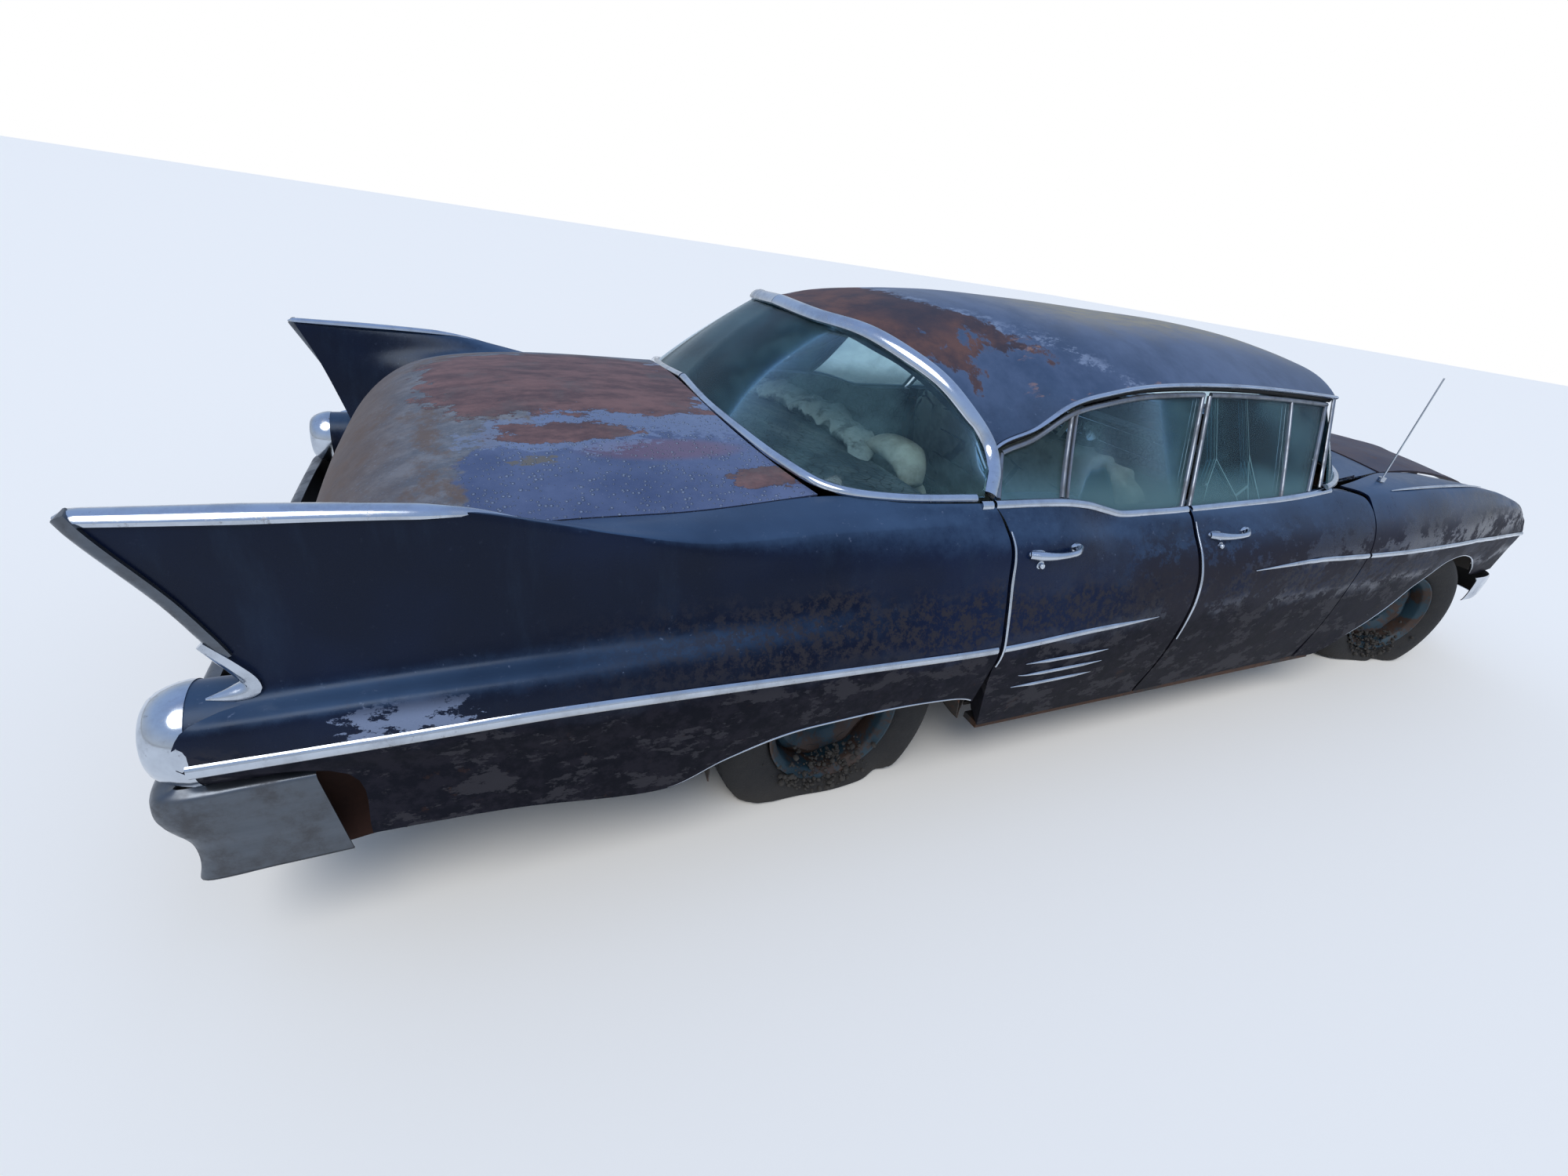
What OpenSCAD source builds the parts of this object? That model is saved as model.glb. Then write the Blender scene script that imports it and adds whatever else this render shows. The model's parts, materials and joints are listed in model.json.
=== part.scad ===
// Wreck of a late-1950s four-door saloon: tall tail fins, wraparound glass, flat tyres.
// X runs forward, Y to the left, Z up; the floor is Z = 0. Half-widths are measured from the car's middle.

/* [Running gear] */
// Distance between the axles
wheelbase = 3290; // [3200:10:3380]
// Distance between the middles of the two tyres of an axle
track = 1550; // [1520:10:1560]
// Height of the rear hubs over the floor, low because the tyres are flat
rear_hub_z = 252; // [240:2:300]
// Height of the front hubs over the floor
front_hub_z = 276; // [270:2:320]
// Radius of a tyre away from its flat
tyre_r = 362; // [350:1:366]
// Width of a tyre
tyre_w = 208; // [190:1:214]
// Radius of a rim's flange
rim_r = 207; // [200:1:210]
// How far the front wheels stand turned to the right
parked_steer = 16; // [0:1:25]

/* [Body shell] */
// Thickness of fenders, quarters and lids with their inner sheets
shell_t = 12; // [8:1:14]
// Thickness of the roof with its lining
roof_t = 22; // [14:1:26]
// Gap round a door, lid or hood
gap = 8; // [7:1:10]
// How far the hood stands ajar
hood_ajar = 1.6; // [1:0.1:2]
// Thickness of the window glass
glass_t = 6; // [5:1:8]

/* [Doors] */
// Place along the car of the front doors' hinge pins
front_hinge_x = 590; // [585:1:592]
// Place along the car of the rear doors' hinge pins
rear_hinge_x = -434; // [-436:1:-432]

/* [Hidden] */
$fn = 48;

// The model is drawn from the middle of the wheelbase and shifted so that the bumpers lie evenly.
front_end_x = 2400;
rear_end_x = -3124;
middle_shift = -(front_end_x + rear_end_x) / 2;
axle_x = wheelbase / 2;
front_axle_x = axle_x - 60;
kingpin_y = 690;
plate_holes = 177.8;

// Long lines of the body, each a list of [x, half-width, height] from back to front.
quarter_bottom = [[-2860, 972, 300], [-2539, 977, 293], [-2184, 976, 252], [-2035, 980, 312],
    [-1874, 983, 360], [-1726, 984, 374], [-1536, 984, 381], [-1376, 983, 375], [-1285, 980, 361],
    [-1200, 976, 320]];
low_line = [[-3040, 968, 492], [-2860, 986, 482], [-2184, 1002, 440], [-1700, 1005, 472],
    [-1252, 1002, 462], [-1100, 1000, 425], [-430, 990, 415], [585, 976, 425], [900, 972, 450],
    [1162, 967, 520], [1400, 955, 606], [1650, 940, 655], [1894, 918, 625], [2055, 904, 575],
    [2387, 868, 575]];
spear_line = [[-3040, 985, 535], [-2700, 1010, 560], [-2400, 1016, 570], [-1700, 1015, 558],
    [-1240, 1014, 553], [-900, 1010, 570], [-568, 1004, 582], [0, 998, 640], [585, 990, 690],
    [1000, 982, 705], [1400, 965, 712], [1800, 935, 706], [2100, 905, 700], [2387, 878, 682]];
shoulder_line = [[-3030, 972, 612], [-2700, 992, 640], [-2100, 994, 642], [-1500, 992, 642],
    [-1240, 992, 650], [-900, 990, 662], [-568, 988, 684], [0, 986, 732], [585, 980, 775],
    [1000, 973, 792], [1500, 948, 792], [2100, 890, 778], [2387, 866, 722]];
valley_line = [[-3020, 926, 652], [-2700, 932, 660], [-2100, 946, 690], [-1700, 956, 720],
    [-1240, 966, 742], [-1000, 964, 748], [-800, 956, 750], [-568, 952, 762], [0, 958, 802],
    [585, 955, 838], [1000, 948, 858], [1500, 924, 856], [2100, 878, 826], [2387, 856, 746]];
upper_line = [[-3000, 908, 800], [-2500, 910, 792], [-2100, 920, 792], [-1700, 932, 815],
    [-1240, 938, 832], [-1000, 935, 836], [-800, 912, 824], [-568, 908, 822], [0, 918, 856],
    [585, 918, 890], [1000, 911, 914], [1500, 890, 908], [2100, 858, 852], [2387, 842, 762]];
crest_line = [[-3106, 914, 976], [-2581, 912, 969], [-2431, 910, 942], [-2282, 907, 910],
    [-2103, 905, 880], [-1860, 895, 882], [-1500, 895, 888], [-1240, 892, 893], [-1000, 890, 890],
    [-800, 874, 866], [-568, 876, 868], [0, 882, 892], [585, 880, 930], [1000, 872, 945],
    [1500, 855, 941], [1806, 845, 914], [2064, 838, 872], [2248, 833, 828], [2387, 828, 772]];
belt_line = [[-1300, 858, 935], [-1031, 856, 935], [-918, 855, 924], [-831, 852, 905],
    [-754, 850, 889], [-630, 850, 889], [-455, 850, 893], [-174, 850, 905], [60, 850, 916],
    [223, 848, 928], [400, 840, 944]];
// Inner side of the fin, and the seam beside the trunk lid and the rear glass.
crest_inner = [[-3100, 888, 974], [-2581, 886, 967], [-2431, 882, 941], [-2282, 874, 914],
    [-2103, 868, 897], [-1860, 852, 902], [-1500, 868, 909], [-1250, 878, 917]];
fin_inner = [[-3030, 868, 840], [-2900, 858, 880], [-2700, 850, 908], [-2431, 842, 921],
    [-2282, 834, 914], [-2103, 828, 906], [-1860, 812, 914], [-1500, 850, 925], [-1250, 866, 930]];
trunk_seam = [[-2945, 817, 580], [-2893, 814, 690], [-2828, 811, 775], [-2726, 808, 845],
    [-2600, 804, 880], [-2400, 796, 899], [-2100, 785, 906], [-1800, 766, 928], [-1700, 792, 938],
    [-1560, 830, 933], [-1294, 858, 935]];
fender_bottom = [[597, 945, 215], [740, 956, 222], [877, 970, 305], [1020, 966, 362],
    [1162, 958, 429], [1263, 952, 494], [1397, 943, 551], [1500, 936, 597], [1626, 927, 617],
    [1746, 917, 611], [1894, 905, 574], [2001, 896, 515], [2060, 888, 470], [2370, 862, 470]];
door_bottom = [[-1180, 950, 215], [-430, 946, 213], [590, 940, 215]];
hood_seam = [[402, 842, 950], [597, 808, 960], [800, 762, 966], [1000, 718, 963],
    [1400, 684, 945], [1900, 644, 880], [2200, 608, 822], [2352, 592, 772]];
rail_line = [[-1600, 830, 930], [-1357, 805, 940], [-1280, 790, 945], [-1240, 762, 985],
    [-1205, 712, 1045], [-1056, 700, 1107], [-930, 690, 1179], [-785, 684, 1216],
    [-609, 678, 1244], [-324, 670, 1261], [10, 662, 1265], [492, 645, 1252], [700, 640, 1240]];
roof_ridge = [[-1605, 1303], [-1485, 1325], [-1398, 1349], [-1278, 1371], [-1118, 1388],
    [-764, 1404], [-300, 1408], [100, 1405], [376, 1396], [560, 1376], [700, 1346]];
// Edges of the rear glass by share of half the car's width: [share, x, half-width, height].
rear_glass_low = [[0, -1905, 0, 1043], [0.2, -1904, 238, 1024], [0.4, -1872, 470, 1002],
    [0.55, -1822, 640, 976], [0.68, -1741, 755, 950], [0.85, -1560, 812, 940],
    [1, -1306, 840, 944]];
rear_glass_top = [[0, -1605, 0, 1300], [0.2, -1590, 210, 1295], [0.4, -1508, 400, 1277],
    [0.55, -1437, 500, 1250], [0.68, -1357, 600, 1196], [0.85, -1280, 680, 1114],
    [1, -1262, 775, 1012]];
lid_ridge = [[0, -1940, 1047], [0.25, -2200, 1052], [0.45, -2450, 1042], [0.6, -2620, 1016],
    [0.7, -2734, 972], [0.8, -2832, 886], [0.9, -2905, 768], [1, -2952, 592]];
lid_edge = [[0, -1775, 757, 932], [0.25, -2100, 777, 906], [0.45, -2400, 788, 899],
    [0.6, -2600, 796, 880], [0.7, -2726, 800, 845], [0.8, -2828, 803, 775], [0.9, -2893, 806, 690],
    [1, -2937, 808, 592]];
hood_ridge = [[1000, 1014], [1400, 992], [1800, 946], [2158, 894], [2370, 832]];

// A smooth curve through the points of a list, read at the first value of each point.
function step_of(t, x, i = 0) = (i >= len(t) - 2 || x < t[i + 1][0]) ? i : step_of(t, x, i + 1);
function slope_of(t, i) =
    let(a = max(i - 1, 0), b = min(i + 1, len(t) - 1)) (t[b] - t[a]) / (t[b][0] - t[a][0]);
function along(t, x) =
    let(i = step_of(t, x), h = t[i + 1][0] - t[i][0], u = (x - t[i][0]) / h)
    (2 * u ^ 3 - 3 * u ^ 2 + 1) * t[i] + (u ^ 3 - 2 * u ^ 2 + u) * h * slope_of(t, i)
    + (3 * u ^ 2 - 2 * u ^ 3) * t[i + 1] + (u ^ 3 - u ^ 2) * h * slope_of(t, i + 1);
function mix(a, b, s) = a + (b - a) * s;
function right(p) = [p[0], -p[1], p[2]];

// A grid of points over the right side: one row for each line, each between its own two ends.
function side_grid(lines, from, to, columns) = [for (k = [0:len(lines) - 1])
    [for (i = [0:columns]) right(along(lines[k], mix(from[k], to[k], i / columns)))]];
function unit(v) = v / norm(v);
function normal_at(g, k, i) =
    let(m = len(g) - 1, n = len(g[0]) - 1)
    unit(cross(g[k][min(i + 1, n)] - g[k][max(i - 1, 0)], g[min(k + 1, m)][i] - g[max(k - 1, 0)][i]));
function inset(g, t) = [for (k = [0:len(g) - 1]) [for (i = [0:len(g[0]) - 1])
    g[k][i] - t * normal_at(g, k, i)]];

// A closed sheet between an outer and an inner grid of the same size.
module sheet(outer, inner) {
    rows = len(outer);
    cols = len(outer[0]);
    half = rows * cols;
    points = concat([for (r = outer) for (p = r) p], [for (r = inner) for (p = r) p]);
    faces = concat(
        [for (k = [0:rows - 2]) for (i = [0:cols - 2])
            let(a = k * cols + i, b = a + 1, c = b + cols, d = a + cols)
            each [[a, d, c], [a, c, b], [a + half, b + half, c + half], [a + half, c + half, d + half]]],
        [for (i = [0:cols - 2]) let(a = i, b = i + 1) each [[a, b, b + half], [a, b + half, a + half]]],
        [for (i = [0:cols - 2]) let(d = (rows - 1) * cols + i, c = d + 1)
            each [[c, d, d + half], [c, d + half, c + half]]],
        [for (k = [0:rows - 2]) let(b = k * cols + cols - 1, c = b + cols)
            each [[b, c, c + half], [b, c + half, b + half]]],
        [for (k = [0:rows - 2]) let(a = k * cols, d = a + cols)
            each [[d, a, a + half], [d, a + half, d + half]]]);
    polyhedron(points = points, faces = faces, convexity = 8);
}
module skin(grid, t) sheet(grid, inset(grid, t));

// A bar along a path, with a rectangular section spanned by two half-sides.
module bar(path, a, b) {
    out = cross(path[len(path) - 1] - path[0], a) * b > 0 ? b : -b;
    sheet([for (s = [-1, 1]) [for (p = path) p + s * a + out]], [for (s = [-1, 1]) [for (p = path) p + s * a - out]]);
}
module box(from, to) translate(from) cube(to - from);
module both_sides() {
    children();
    mirror([0, 1, 0]) children();
}

// Body panels
module front_fender() {
    rows = [fender_bottom, low_line, spear_line, shoulder_line, valley_line, upper_line, crest_line, hood_seam];
    rear = [front_hinge_x + 7, front_hinge_x + 7, front_hinge_x + 7, front_hinge_x + 7,
        front_hinge_x + 7, front_hinge_x + 7, front_hinge_x + 6, 474];
    tips = [2362, 2368, 2375, 2378, 2378, 2376, 2368, 2345];
    skin(side_grid(rows, rear, tips, 30), shell_t);
}
module rear_quarter() {
    rows = [quarter_bottom, low_line, spear_line, shoulder_line, valley_line, upper_line, crest_line,
        crest_inner, fin_inner, trunk_seam];
    rear = [-2796, -2811, -3040, -3034, -2945, -3000, -3098, -3092, -3030, -2940];
    front = [-1254, -1254, -1254, -1254, -1254, -1252, -1264, -1276, -1286, -1294];
    skin(side_grid(rows, rear, front, 30), shell_t - 3);
}

// Doors: thick panels, with slim frames that stand up round the glass.
door_rows = [door_bottom, low_line, spear_line, shoulder_line, valley_line, upper_line, crest_line, belt_line];
function door_inner(p, low, high, back, front) =
    [min(max(p[0], back), front), -max(mix(low, high, (p[2] - 215) / 690), p[0] > 180 ? 822 : 0), p[2]];
module door_panel(rear, front) {
    outer = side_grid(door_rows, rear, front, 12);
    inner = [for (r = outer) [for (p = r) door_inner(p, 872, 785, r[0][0] + 40, r[12][0])]];
    sheet(outer, inner);
}
// A point of the door glass: x along the car, 0 at the belt and 1 at the roof rail.
function glass_point(x, h) =
    let(low = along(belt_line, min(max(x, -1290), 395)), high = along(rail_line, max(min(x, 560), -1190)))
    [x, -mix(low[1] - 16, high[1] + 6, h), mix(low[2] + 7, high[2] - 38, h)];
function glass_sheet(rear, front, rear_top, front_top, columns) = [for (h = [0, 0.5, 0.96])
    [for (i = [0:columns]) glass_point(mix(mix(rear, rear_top, h), mix(front, front_top, h), i / columns), h)]];
front_glass = [-412, 262, -300, 452];
rear_glass = [-1262, -450, -1168, -336];
module door_glass(g) skin(glass_sheet(g[0] + 12, g[1] - 12, g[2] + 12, g[3] - 12, 10), glass_t);
module glass_header(g) {
    bar([for (i = [0:10]) glass_point(mix(g[2], g[3], i / 10), 1) + [0, 3, 0]], [0, 6, 0], [0, 0, 5]);
}
module glass_post(x, x_top) {
    bar([for (h = [-0.06, 0.5, 1]) glass_point(mix(x, x_top, h), h) + [0, 3, 0]], [5, 0, 0], [0, 7, 0]);
}
module front_door() {
    door_panel([-427, -427, -427, -427, -427, -427, -426, -422], [589, 589, 589, 589, 589, 588, 552, 386]);
    glass_post(front_glass[0], front_glass[2]);
    glass_header(front_glass);
    glass_post(front_glass[1], front_glass[3]);
}
module rear_door() {
    door_panel([-1166, -1245, -1245, -1245, -1245, -1243, -1255, -1284], [for (r = door_rows) rear_hinge_x - 5]);
    glass_post(rear_glass[0], rear_glass[2]);
    glass_header(rear_glass);
    glass_post(rear_glass[1], rear_glass[3]);
}

// Roof between its two curved ends, crowned across.
function roof_point(q, x) =
    let(r = along(rail_line, x), ridge = along(roof_ridge, x))
    [x, r[1] * q, ridge[1] - (ridge[1] - r[2]) * abs(q) ^ 2.6];
function roof_row(v, columns) =
    let(s = abs(v), e = along(rear_glass_top, min(s * 0.93, 0.9)), x_back = s == 1 ? -1205 : e[1] + 10,
        x_front = 505 + 190 * (1 - s ^ 2.6), q_back = s == 1 ? 1 : e[2] / along(rail_line, x_back)[1])
    [for (i = [0:columns]) let(u = i / columns)
        roof_point(sign(v) * mix(q_back, s, min(1, u * 2.2)), mix(x_back, x_front, u))];
module roof() {
    skin([for (k = [-8:8]) roof_row(k / 8, 26)], roof_t);
    both_sides() {
        bar([[-1192, -694, 1062], [-1222, -752, 1008], [-1286, -832, 956]], [14, 0, 0], [0, 9, 0]);
        bar([[308, -820, 952], [405, -735, 1105], [512, -628, 1262]], [16, 0, 0], [0, 13, 0]);
    }
}
function screen_base(v) = [330 + 610 * max(0, 1 - abs(v) ^ 3) ^ 0.75, 838 * v, 954 + 34 * (1 - v ^ 2)];
function screen_top(v) = [512 + 180 * (1 - abs(v) ^ 2.6), 622 * v, 1228 + 86 * (1 - abs(v) ^ 2.4)];
module windscreen() {
    grid = [for (k = [-12:12]) let(v = k / 12.2) [for (u = [1, 0.66, 0.33, 0])
        mix(screen_top(v), screen_base(v), u) + [1.1 * 60 * u * (1 - u), 0, 0]]];
    skin([for (r = grid) [for (i = [3:-1:0]) r[3 - i]]], -glass_t);
}
module rear_window() {
    grid = [for (k = [-12:12]) let(v = abs(k) / 12, a = along(rear_glass_low, v), b = along(rear_glass_top, v),
        side = sign(k)) [for (u = [0.04, 0.35, 0.65, 0.94]) let(p = mix(a, b, u), out = 90 * u * (1 - u))
        [p[1] - out, side * (p[2] + out * v), p[3]]]];
    skin(grid, glass_t);
}

// Lids
function lid_grid(n) = [for (k = [-n:n]) let(v = k / n, s = abs(v)) [for (i = [16:-1:0]) let(u = i / 16,
    c = along(lid_ridge, u), e = along(lid_edge, u))
    [mix(c[1], e[1], s ^ 3.2), e[2] * v, mix(c[2], e[3], s ^ 2.2)]]];
module trunk_lid() skin(lid_grid(7), shell_t);
function hood_grid(n) = [for (k = [-n:n]) let(v = k / n, s = abs(v)) [for (i = [0:14]) let(u = i / 14,
    x = mix(1058 - 46 * v ^ 2, 2358 - 24 * v ^ 2, u), e = along(hood_seam, x))
    [x, (e[1] - gap) * v, mix(along(hood_ridge, x)[1], e[2], s ^ 2.2)]]];
hood_axis = [1006, 0, 1016];
module hood() translate(hood_axis) rotate([0, -hood_ajar, 0]) translate(-hood_axis) skin(hood_grid(7), shell_t);
module cowl_panel() {
    grid = [for (k = [-12:12]) let(v = k / 12, a = screen_base(v) + [16, -26 * v ^ 25, -6],
        b = [1050 - 46 * v ^ 2, 702 * v, 1010 - 50 * abs(v) ^ 2.2]) [for (u = [0, 0.25, 0.5, 0.75, 1]) mix(a, b, u)]];
    skin(grid, shell_t);
}

// Structure under the body
module chassis_frame() {
    both_sides() {
        bar([[-2890, -520, 330], [-2100, -520, 425], [-1580, -505, 425], [-1330, -400, 165], [-1050, -330, 160],
            [0, -120, 160], [900, -300, 160], [1300, -400, 200], [1700, -400, 300], [2250, -420, 300]],
            [0, 35, 0], [0, 0, 45]);
    }
    box([-2890, -485, 300], [-2820, 485, 360]);
    box([2130, -385, 270], [2200, 385, 330]);
    box([-60, -85, 125], [60, 85, 195]);
}
module floor_pan() {
    difference() {
        union() {
            box([-1150, -860, 222], [560, 860, 234]);
            box([-1302, -636, 222], [-1150, 636, 234]);
            box([-1290, -190, 222], [560, 190, 330]);
            box([-1302, -636, 222], [-1290, 636, 532]);
        }
        box([-1310, -178, 200], [570, 178, 318]);
    }
    box([-2880, -640, 520], [-1290, 640, 532]);
    both_sides() {
        difference() {
            box([-2070, -652, 400], [-1220, -640, 760]);
            translate([-axle_x, -600, rear_hub_z]) rotate([90, 0, 0]) cylinder(r = 90, h = 100);
        }
        box([-2070, -860, 748], [-1290, -652, 760]);
        box([-455, -772, 230], [-405, -700, 860]);
    }
}
module rocker_sills() both_sides() box([-1150, -934, 186], [740, -874, 207]);
module firewall() {
    box([590, -470, 240], [604, 470, 900]);
    both_sides() {
        box([590, -780, 240], [604, -470, 900]);
        difference() {
            box([604, -448, 420], [2080, -436, 860]);
            translate([front_axle_x, -400, front_hub_z]) rotate([90, 0, 0]) cylinder(r = 190, h = 100);
        }
    }
}
module tail_panel() {
    difference() {
        box([-2962, -800, 420], [-2948, 800, 580]);
        for (s = [-1, 1]) translate([-2970, s * plate_holes / 2, 552]) rotate([0, 90, 0]) cylinder(r = 3.5, h = 30);
    }
    box([-2946, -640, 300], [-2905, 640, 515]);
}
module parcel_shelf() {
    box([-1870, -600, 900], [-1420, 600, 912]);
    box([-1432, -600, 545], [-1420, 600, 898]);
}
module dashboard() {
    translate([0, 700, 0]) rotate([90, 0, 0]) linear_extrude(1400)
        polygon([[430, 760], [520, 700], [560, 740], [560, 900], [470, 925], [410, 905]]);
}
module steering_column() {
    translate([60, 380, 860]) rotate([0, 118, 0]) {
        rotate_extrude() translate([200, 0]) circle(r = 13);
        for (a = [90, 270]) rotate([0, 0, a]) rotate([0, 90, 0]) cylinder(r = 9, h = 200);
        cylinder(r = 50, h = 50);
        cylinder(r = 24, h = 585);
    }
}
module bench(x, z, w, back_h) {
    hull() for (dx = [0, 440], s = [-1, 1], dz = [0, 90])
        translate([x + dx, s * (w - 60), z + dz]) scale([1, 1.2, 0.7]) sphere(r = 50, $fn = 16);
    hull() for (dx = [0, 60], s = [-1, 1], dz = [0, back_h])
        translate([x - 60 + dx - dz * 0.22, s * (w - 60), z + 150 + dz]) sphere(r = 48, $fn = 16);
}
module front_seat() bench(-270, 370, 690, 420);
module rear_seat() bench(-1150, 370, 560, 380);
module engine_block() box([720, -260, 240], [1500, 260, 800]);
module radiator() box([1900, -330, 330], [1990, 330, 780]);
module grille() {
    box([2290, -570, 476], [2304, 570, 740]);
    for (i = [0:3]) box([2304, -560, 500 + 60 * i], [2330, 560, 512 + 60 * i]);
    for (i = [-7:7]) box([2330, i * 75 - 5, 500], [2342, i * 75 + 5, 692]);
}
module headlamps() both_sides() for (y = [655, 795])
    translate([2300, -y, 660]) rotate([0, 90, 0]) cylinder(r = 62, h = 62);
module front_bumper() {
    bumper = [for (s = [0:12]) let(v = s / 6 - 1, a = abs(v)) [front_end_x - 300 * a ^ 7 - 40 * a ^ 2, 925 * v, 405]];
    sheet([for (h = [-60, -20, 20, 60]) [for (p = bumper) p + [(400 - h * h) / 300, 0, h]]],
        [for (h = [-60, -20, 20, 60]) [for (p = bumper) p + [(400 - h * h) / 300 - 22, 0, h]]]);
}
// The bumper's plan from a side plate to the middle: place, half-width, the way inwards and the swelling.
rear_bumper_plan = [[-2830, 973, 0, -1, 0], [-2900, 975, 0, -1, 0], [-2975, 976, 0.1, -1, 0.15],
    [-3030, 977, 0.3, -0.95, 0.6], [-3080, 973, 0.6, -0.8, 0.95], [-3112, 956, 0.8, -0.6, 1],
    [-3122, 920, 0.95, -0.3, 1], [rear_end_x, 850, 1, -0.1, 0.95], [rear_end_x, 600, 1, 0, 0.7],
    [rear_end_x, 300, 1, 0, 0.7], [rear_end_x, 0, 1, 0, 0.7]];
// Its section, from the foot up: height and setback on a flat side plate, then where it is swollen.
rear_bumper_section = [[266, 2, 236, 40], [330, 0, 300, 48], [380, 0, 372, 20], [440, 0, 440, 0], [477, 8, 480, 44]];
module rear_bumper() {
    half = rear_bumper_plan;
    last = len(half) - 1;
    plan = concat([for (p = half) [p[0], -p[1], p[2], -p[3], p[4]]], [for (i = [last - 1:-1:0]) half[i]]);
    grid = [for (h = rear_bumper_section) [for (p = plan) let(back = mix(h[1], h[3], p[4]), z = mix(h[0], h[2], p[4]))
        [p[0] + p[2] * back - 0.0013 * max(0, p[0] + 2950) * (z - 240), p[1] + p[3] * back, z]]];
    skin(grid, shell_t - 4);
}
module tail_lamps() both_sides() translate([-3104, -905, 570]) rotate([0, 90, 0]) cylinder(r = 48, h = 50);
module fin_blades() both_sides()
    bar([[-3107, -901, 974], [-3010, -899, 800], [-2962, -897, 660]], [5, 0, 0], [0, 11, 0]);
module front_suspension() {
    box([1500, -358, 190], [1670, 358, 250]);
    both_sides() for (z = [201, 351])
        bar([[front_axle_x, -400, z], [front_axle_x, -655, z]], [40, 0, 0], [0, 0, 12]);
}
module rear_axle() {
    translate([-axle_x, -748, rear_hub_z]) rotate([-90, 0, 0]) cylinder(r = 42, h = 1496);
    both_sides() translate([-axle_x, -742, rear_hub_z]) rotate([-90, 0, 0]) cylinder(r = 150, h = 78);
    translate([-axle_x, 0, rear_hub_z]) sphere(r = 120);
    translate([-axle_x, 0, rear_hub_z]) rotate([0, 90, 0]) cylinder(r = 38, h = 2150);
}
module exhaust() both_sides() {
    translate([-700, -450, 140]) rotate([0, 90, 0]) cylinder(r = 28, h = 1500);
    translate([-1000, -450, 140]) rotate([0, 90, 0]) cylinder(r = 72, h = 600);
    bar([[-1010, -450, 140], [-1320, -600, 180], [-1480, -600, 345], [-1800, -600, 345], [-2050, -600, 300],
        [-2880, -600, 270]], [0, 26, 0], [0, 0, 26]);
}
module fuel_tank() box([-2800, -430, 370], [-2150, 430, 500]);
module antenna() {
    translate([800, -812, 962]) cylinder(r = 14, h = 16);
    translate([800, -812, 974]) rotate([0, 3, 0]) cylinder(r = 3, h = 400);
}

// Wheels: each about its own hub, the outer face towards negative Y.
module rim() rotate([90, 0, 0]) {
    rotate_extrude() polygon([[40, -6], [40, -20], [120, 10], [160, -8], [180, -8], [180, -74], [200, -92],
        [rim_r, -92], [rim_r, -84], [188, -70], [188, 70], [rim_r, 84], [rim_r, 92], [200, 92], [180, 74],
        [180, 4], [160, 6], [120, 24]]);
    translate([0, 0, -20]) cylinder(r = 46, h = 60);
}
module tyre(hub_z) difference() {
    rotate([90, 0, 0]) rotate_extrude($fn = 96) {
        difference() {
            translate([tyre_r - 90, 0]) scale([1, 1]) offset(r = 60) square([60, tyre_w - 120], center = true);
            translate([0, -200]) square([rim_r + 1, 400]);
        }
    }
    translate([-400, -200, -hub_z - 200]) cube([800, 400, 200]);
}
module rear_wheel_place() translate([-axle_x, -track / 2, rear_hub_z]) children();
module knuckle() {
    translate([0, 0, -90]) cylinder(r = 26, h = 180);
    rotate([90, 0, 0]) cylinder(r = 38, h = 60);
    translate([0, -36, 0]) rotate([90, 0, 0]) cylinder(r = 150, h = 24);
}

module placed() translate([middle_shift, 0, 0]) children();
module placed_left() translate([middle_shift, 0, 0]) mirror([0, 1, 0]) children();
// The left front wheel turns the same way as the right one.
module right_kingpin() translate([front_axle_x, -kingpin_y, front_hub_z]) rotate([0, 0, -parked_steer]) children();
module left_kingpin() translate([front_axle_x, kingpin_y, front_hub_z]) rotate([0, 0, -parked_steer])
    mirror([0, 1, 0]) children();
module on_stub() translate([0, kingpin_y - track / 2, 0]) children();

color("#2a211c") placed() chassis_frame();
color("#3a2f29") placed() floor_pan();
color("#2b2a2d") placed() rocker_sills();
color("#2b2a2d") placed() firewall();
color("#2d3546") placed() cowl_panel();
color("#3b4354") placed() roof();
color("#8fb5b0", 0.5) placed() windscreen();
color("#8fb5b0", 0.5) placed() rear_window();
color("#2a3040") placed() front_fender();  // front_fender_right
color("#2a3040") placed_left() front_fender();  // front_fender_left
color("#1b2440") placed() rear_quarter();  // rear_quarter_right
color("#1b2440") placed_left() rear_quarter();  // rear_quarter_left
color("#1b2440") placed() tail_panel();
color("#8a8378") placed() parcel_shelf();
color("#30363f") placed() dashboard();
color("#c9c2b0") placed() steering_column();
color("#b9b09a") placed() front_seat();
color("#b9b09a") placed() rear_seat();
color("#3c3f45") placed() engine_block();
color("#2a2a2a") placed() radiator();
color("#b6bcc4") placed() grille();
color("#dfe5ea") placed() headlamps();
color("#a9b1ba") placed() front_bumper();
color("#a9b1ba") placed() rear_bumper();
color("#7c1b18") placed() tail_lamps();
color("#b6c2d0") placed() fin_blades();
color("#2a211c") placed() front_suspension();
color("#2a211c") placed() rear_axle();
color("#4a3327") placed() exhaust();
color("#3a2f29") placed() fuel_tank();
color("#9aa3ad") placed() antenna();
color("#232a3a") placed() front_door();  // front_door_right
color("#232a3a") placed_left() front_door();  // front_door_left
color("#232a3a") placed() rear_door();  // rear_door_right
color("#232a3a") placed_left() rear_door();  // rear_door_left
color("#7fa7a3", 0.5) placed() door_glass(front_glass);  // front_door_glass_right
color("#7fa7a3", 0.5) placed_left() door_glass(front_glass);  // front_door_glass_left
color("#7fa7a3", 0.5) placed() door_glass(rear_glass);  // rear_door_glass_right
color("#7fa7a3", 0.5) placed_left() door_glass(rear_glass);  // rear_door_glass_left
color("#30384a") placed() hood();
color("#4a4a58") placed() trunk_lid();
color("#2a211c") placed() right_kingpin() knuckle();  // knuckle_right
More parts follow.
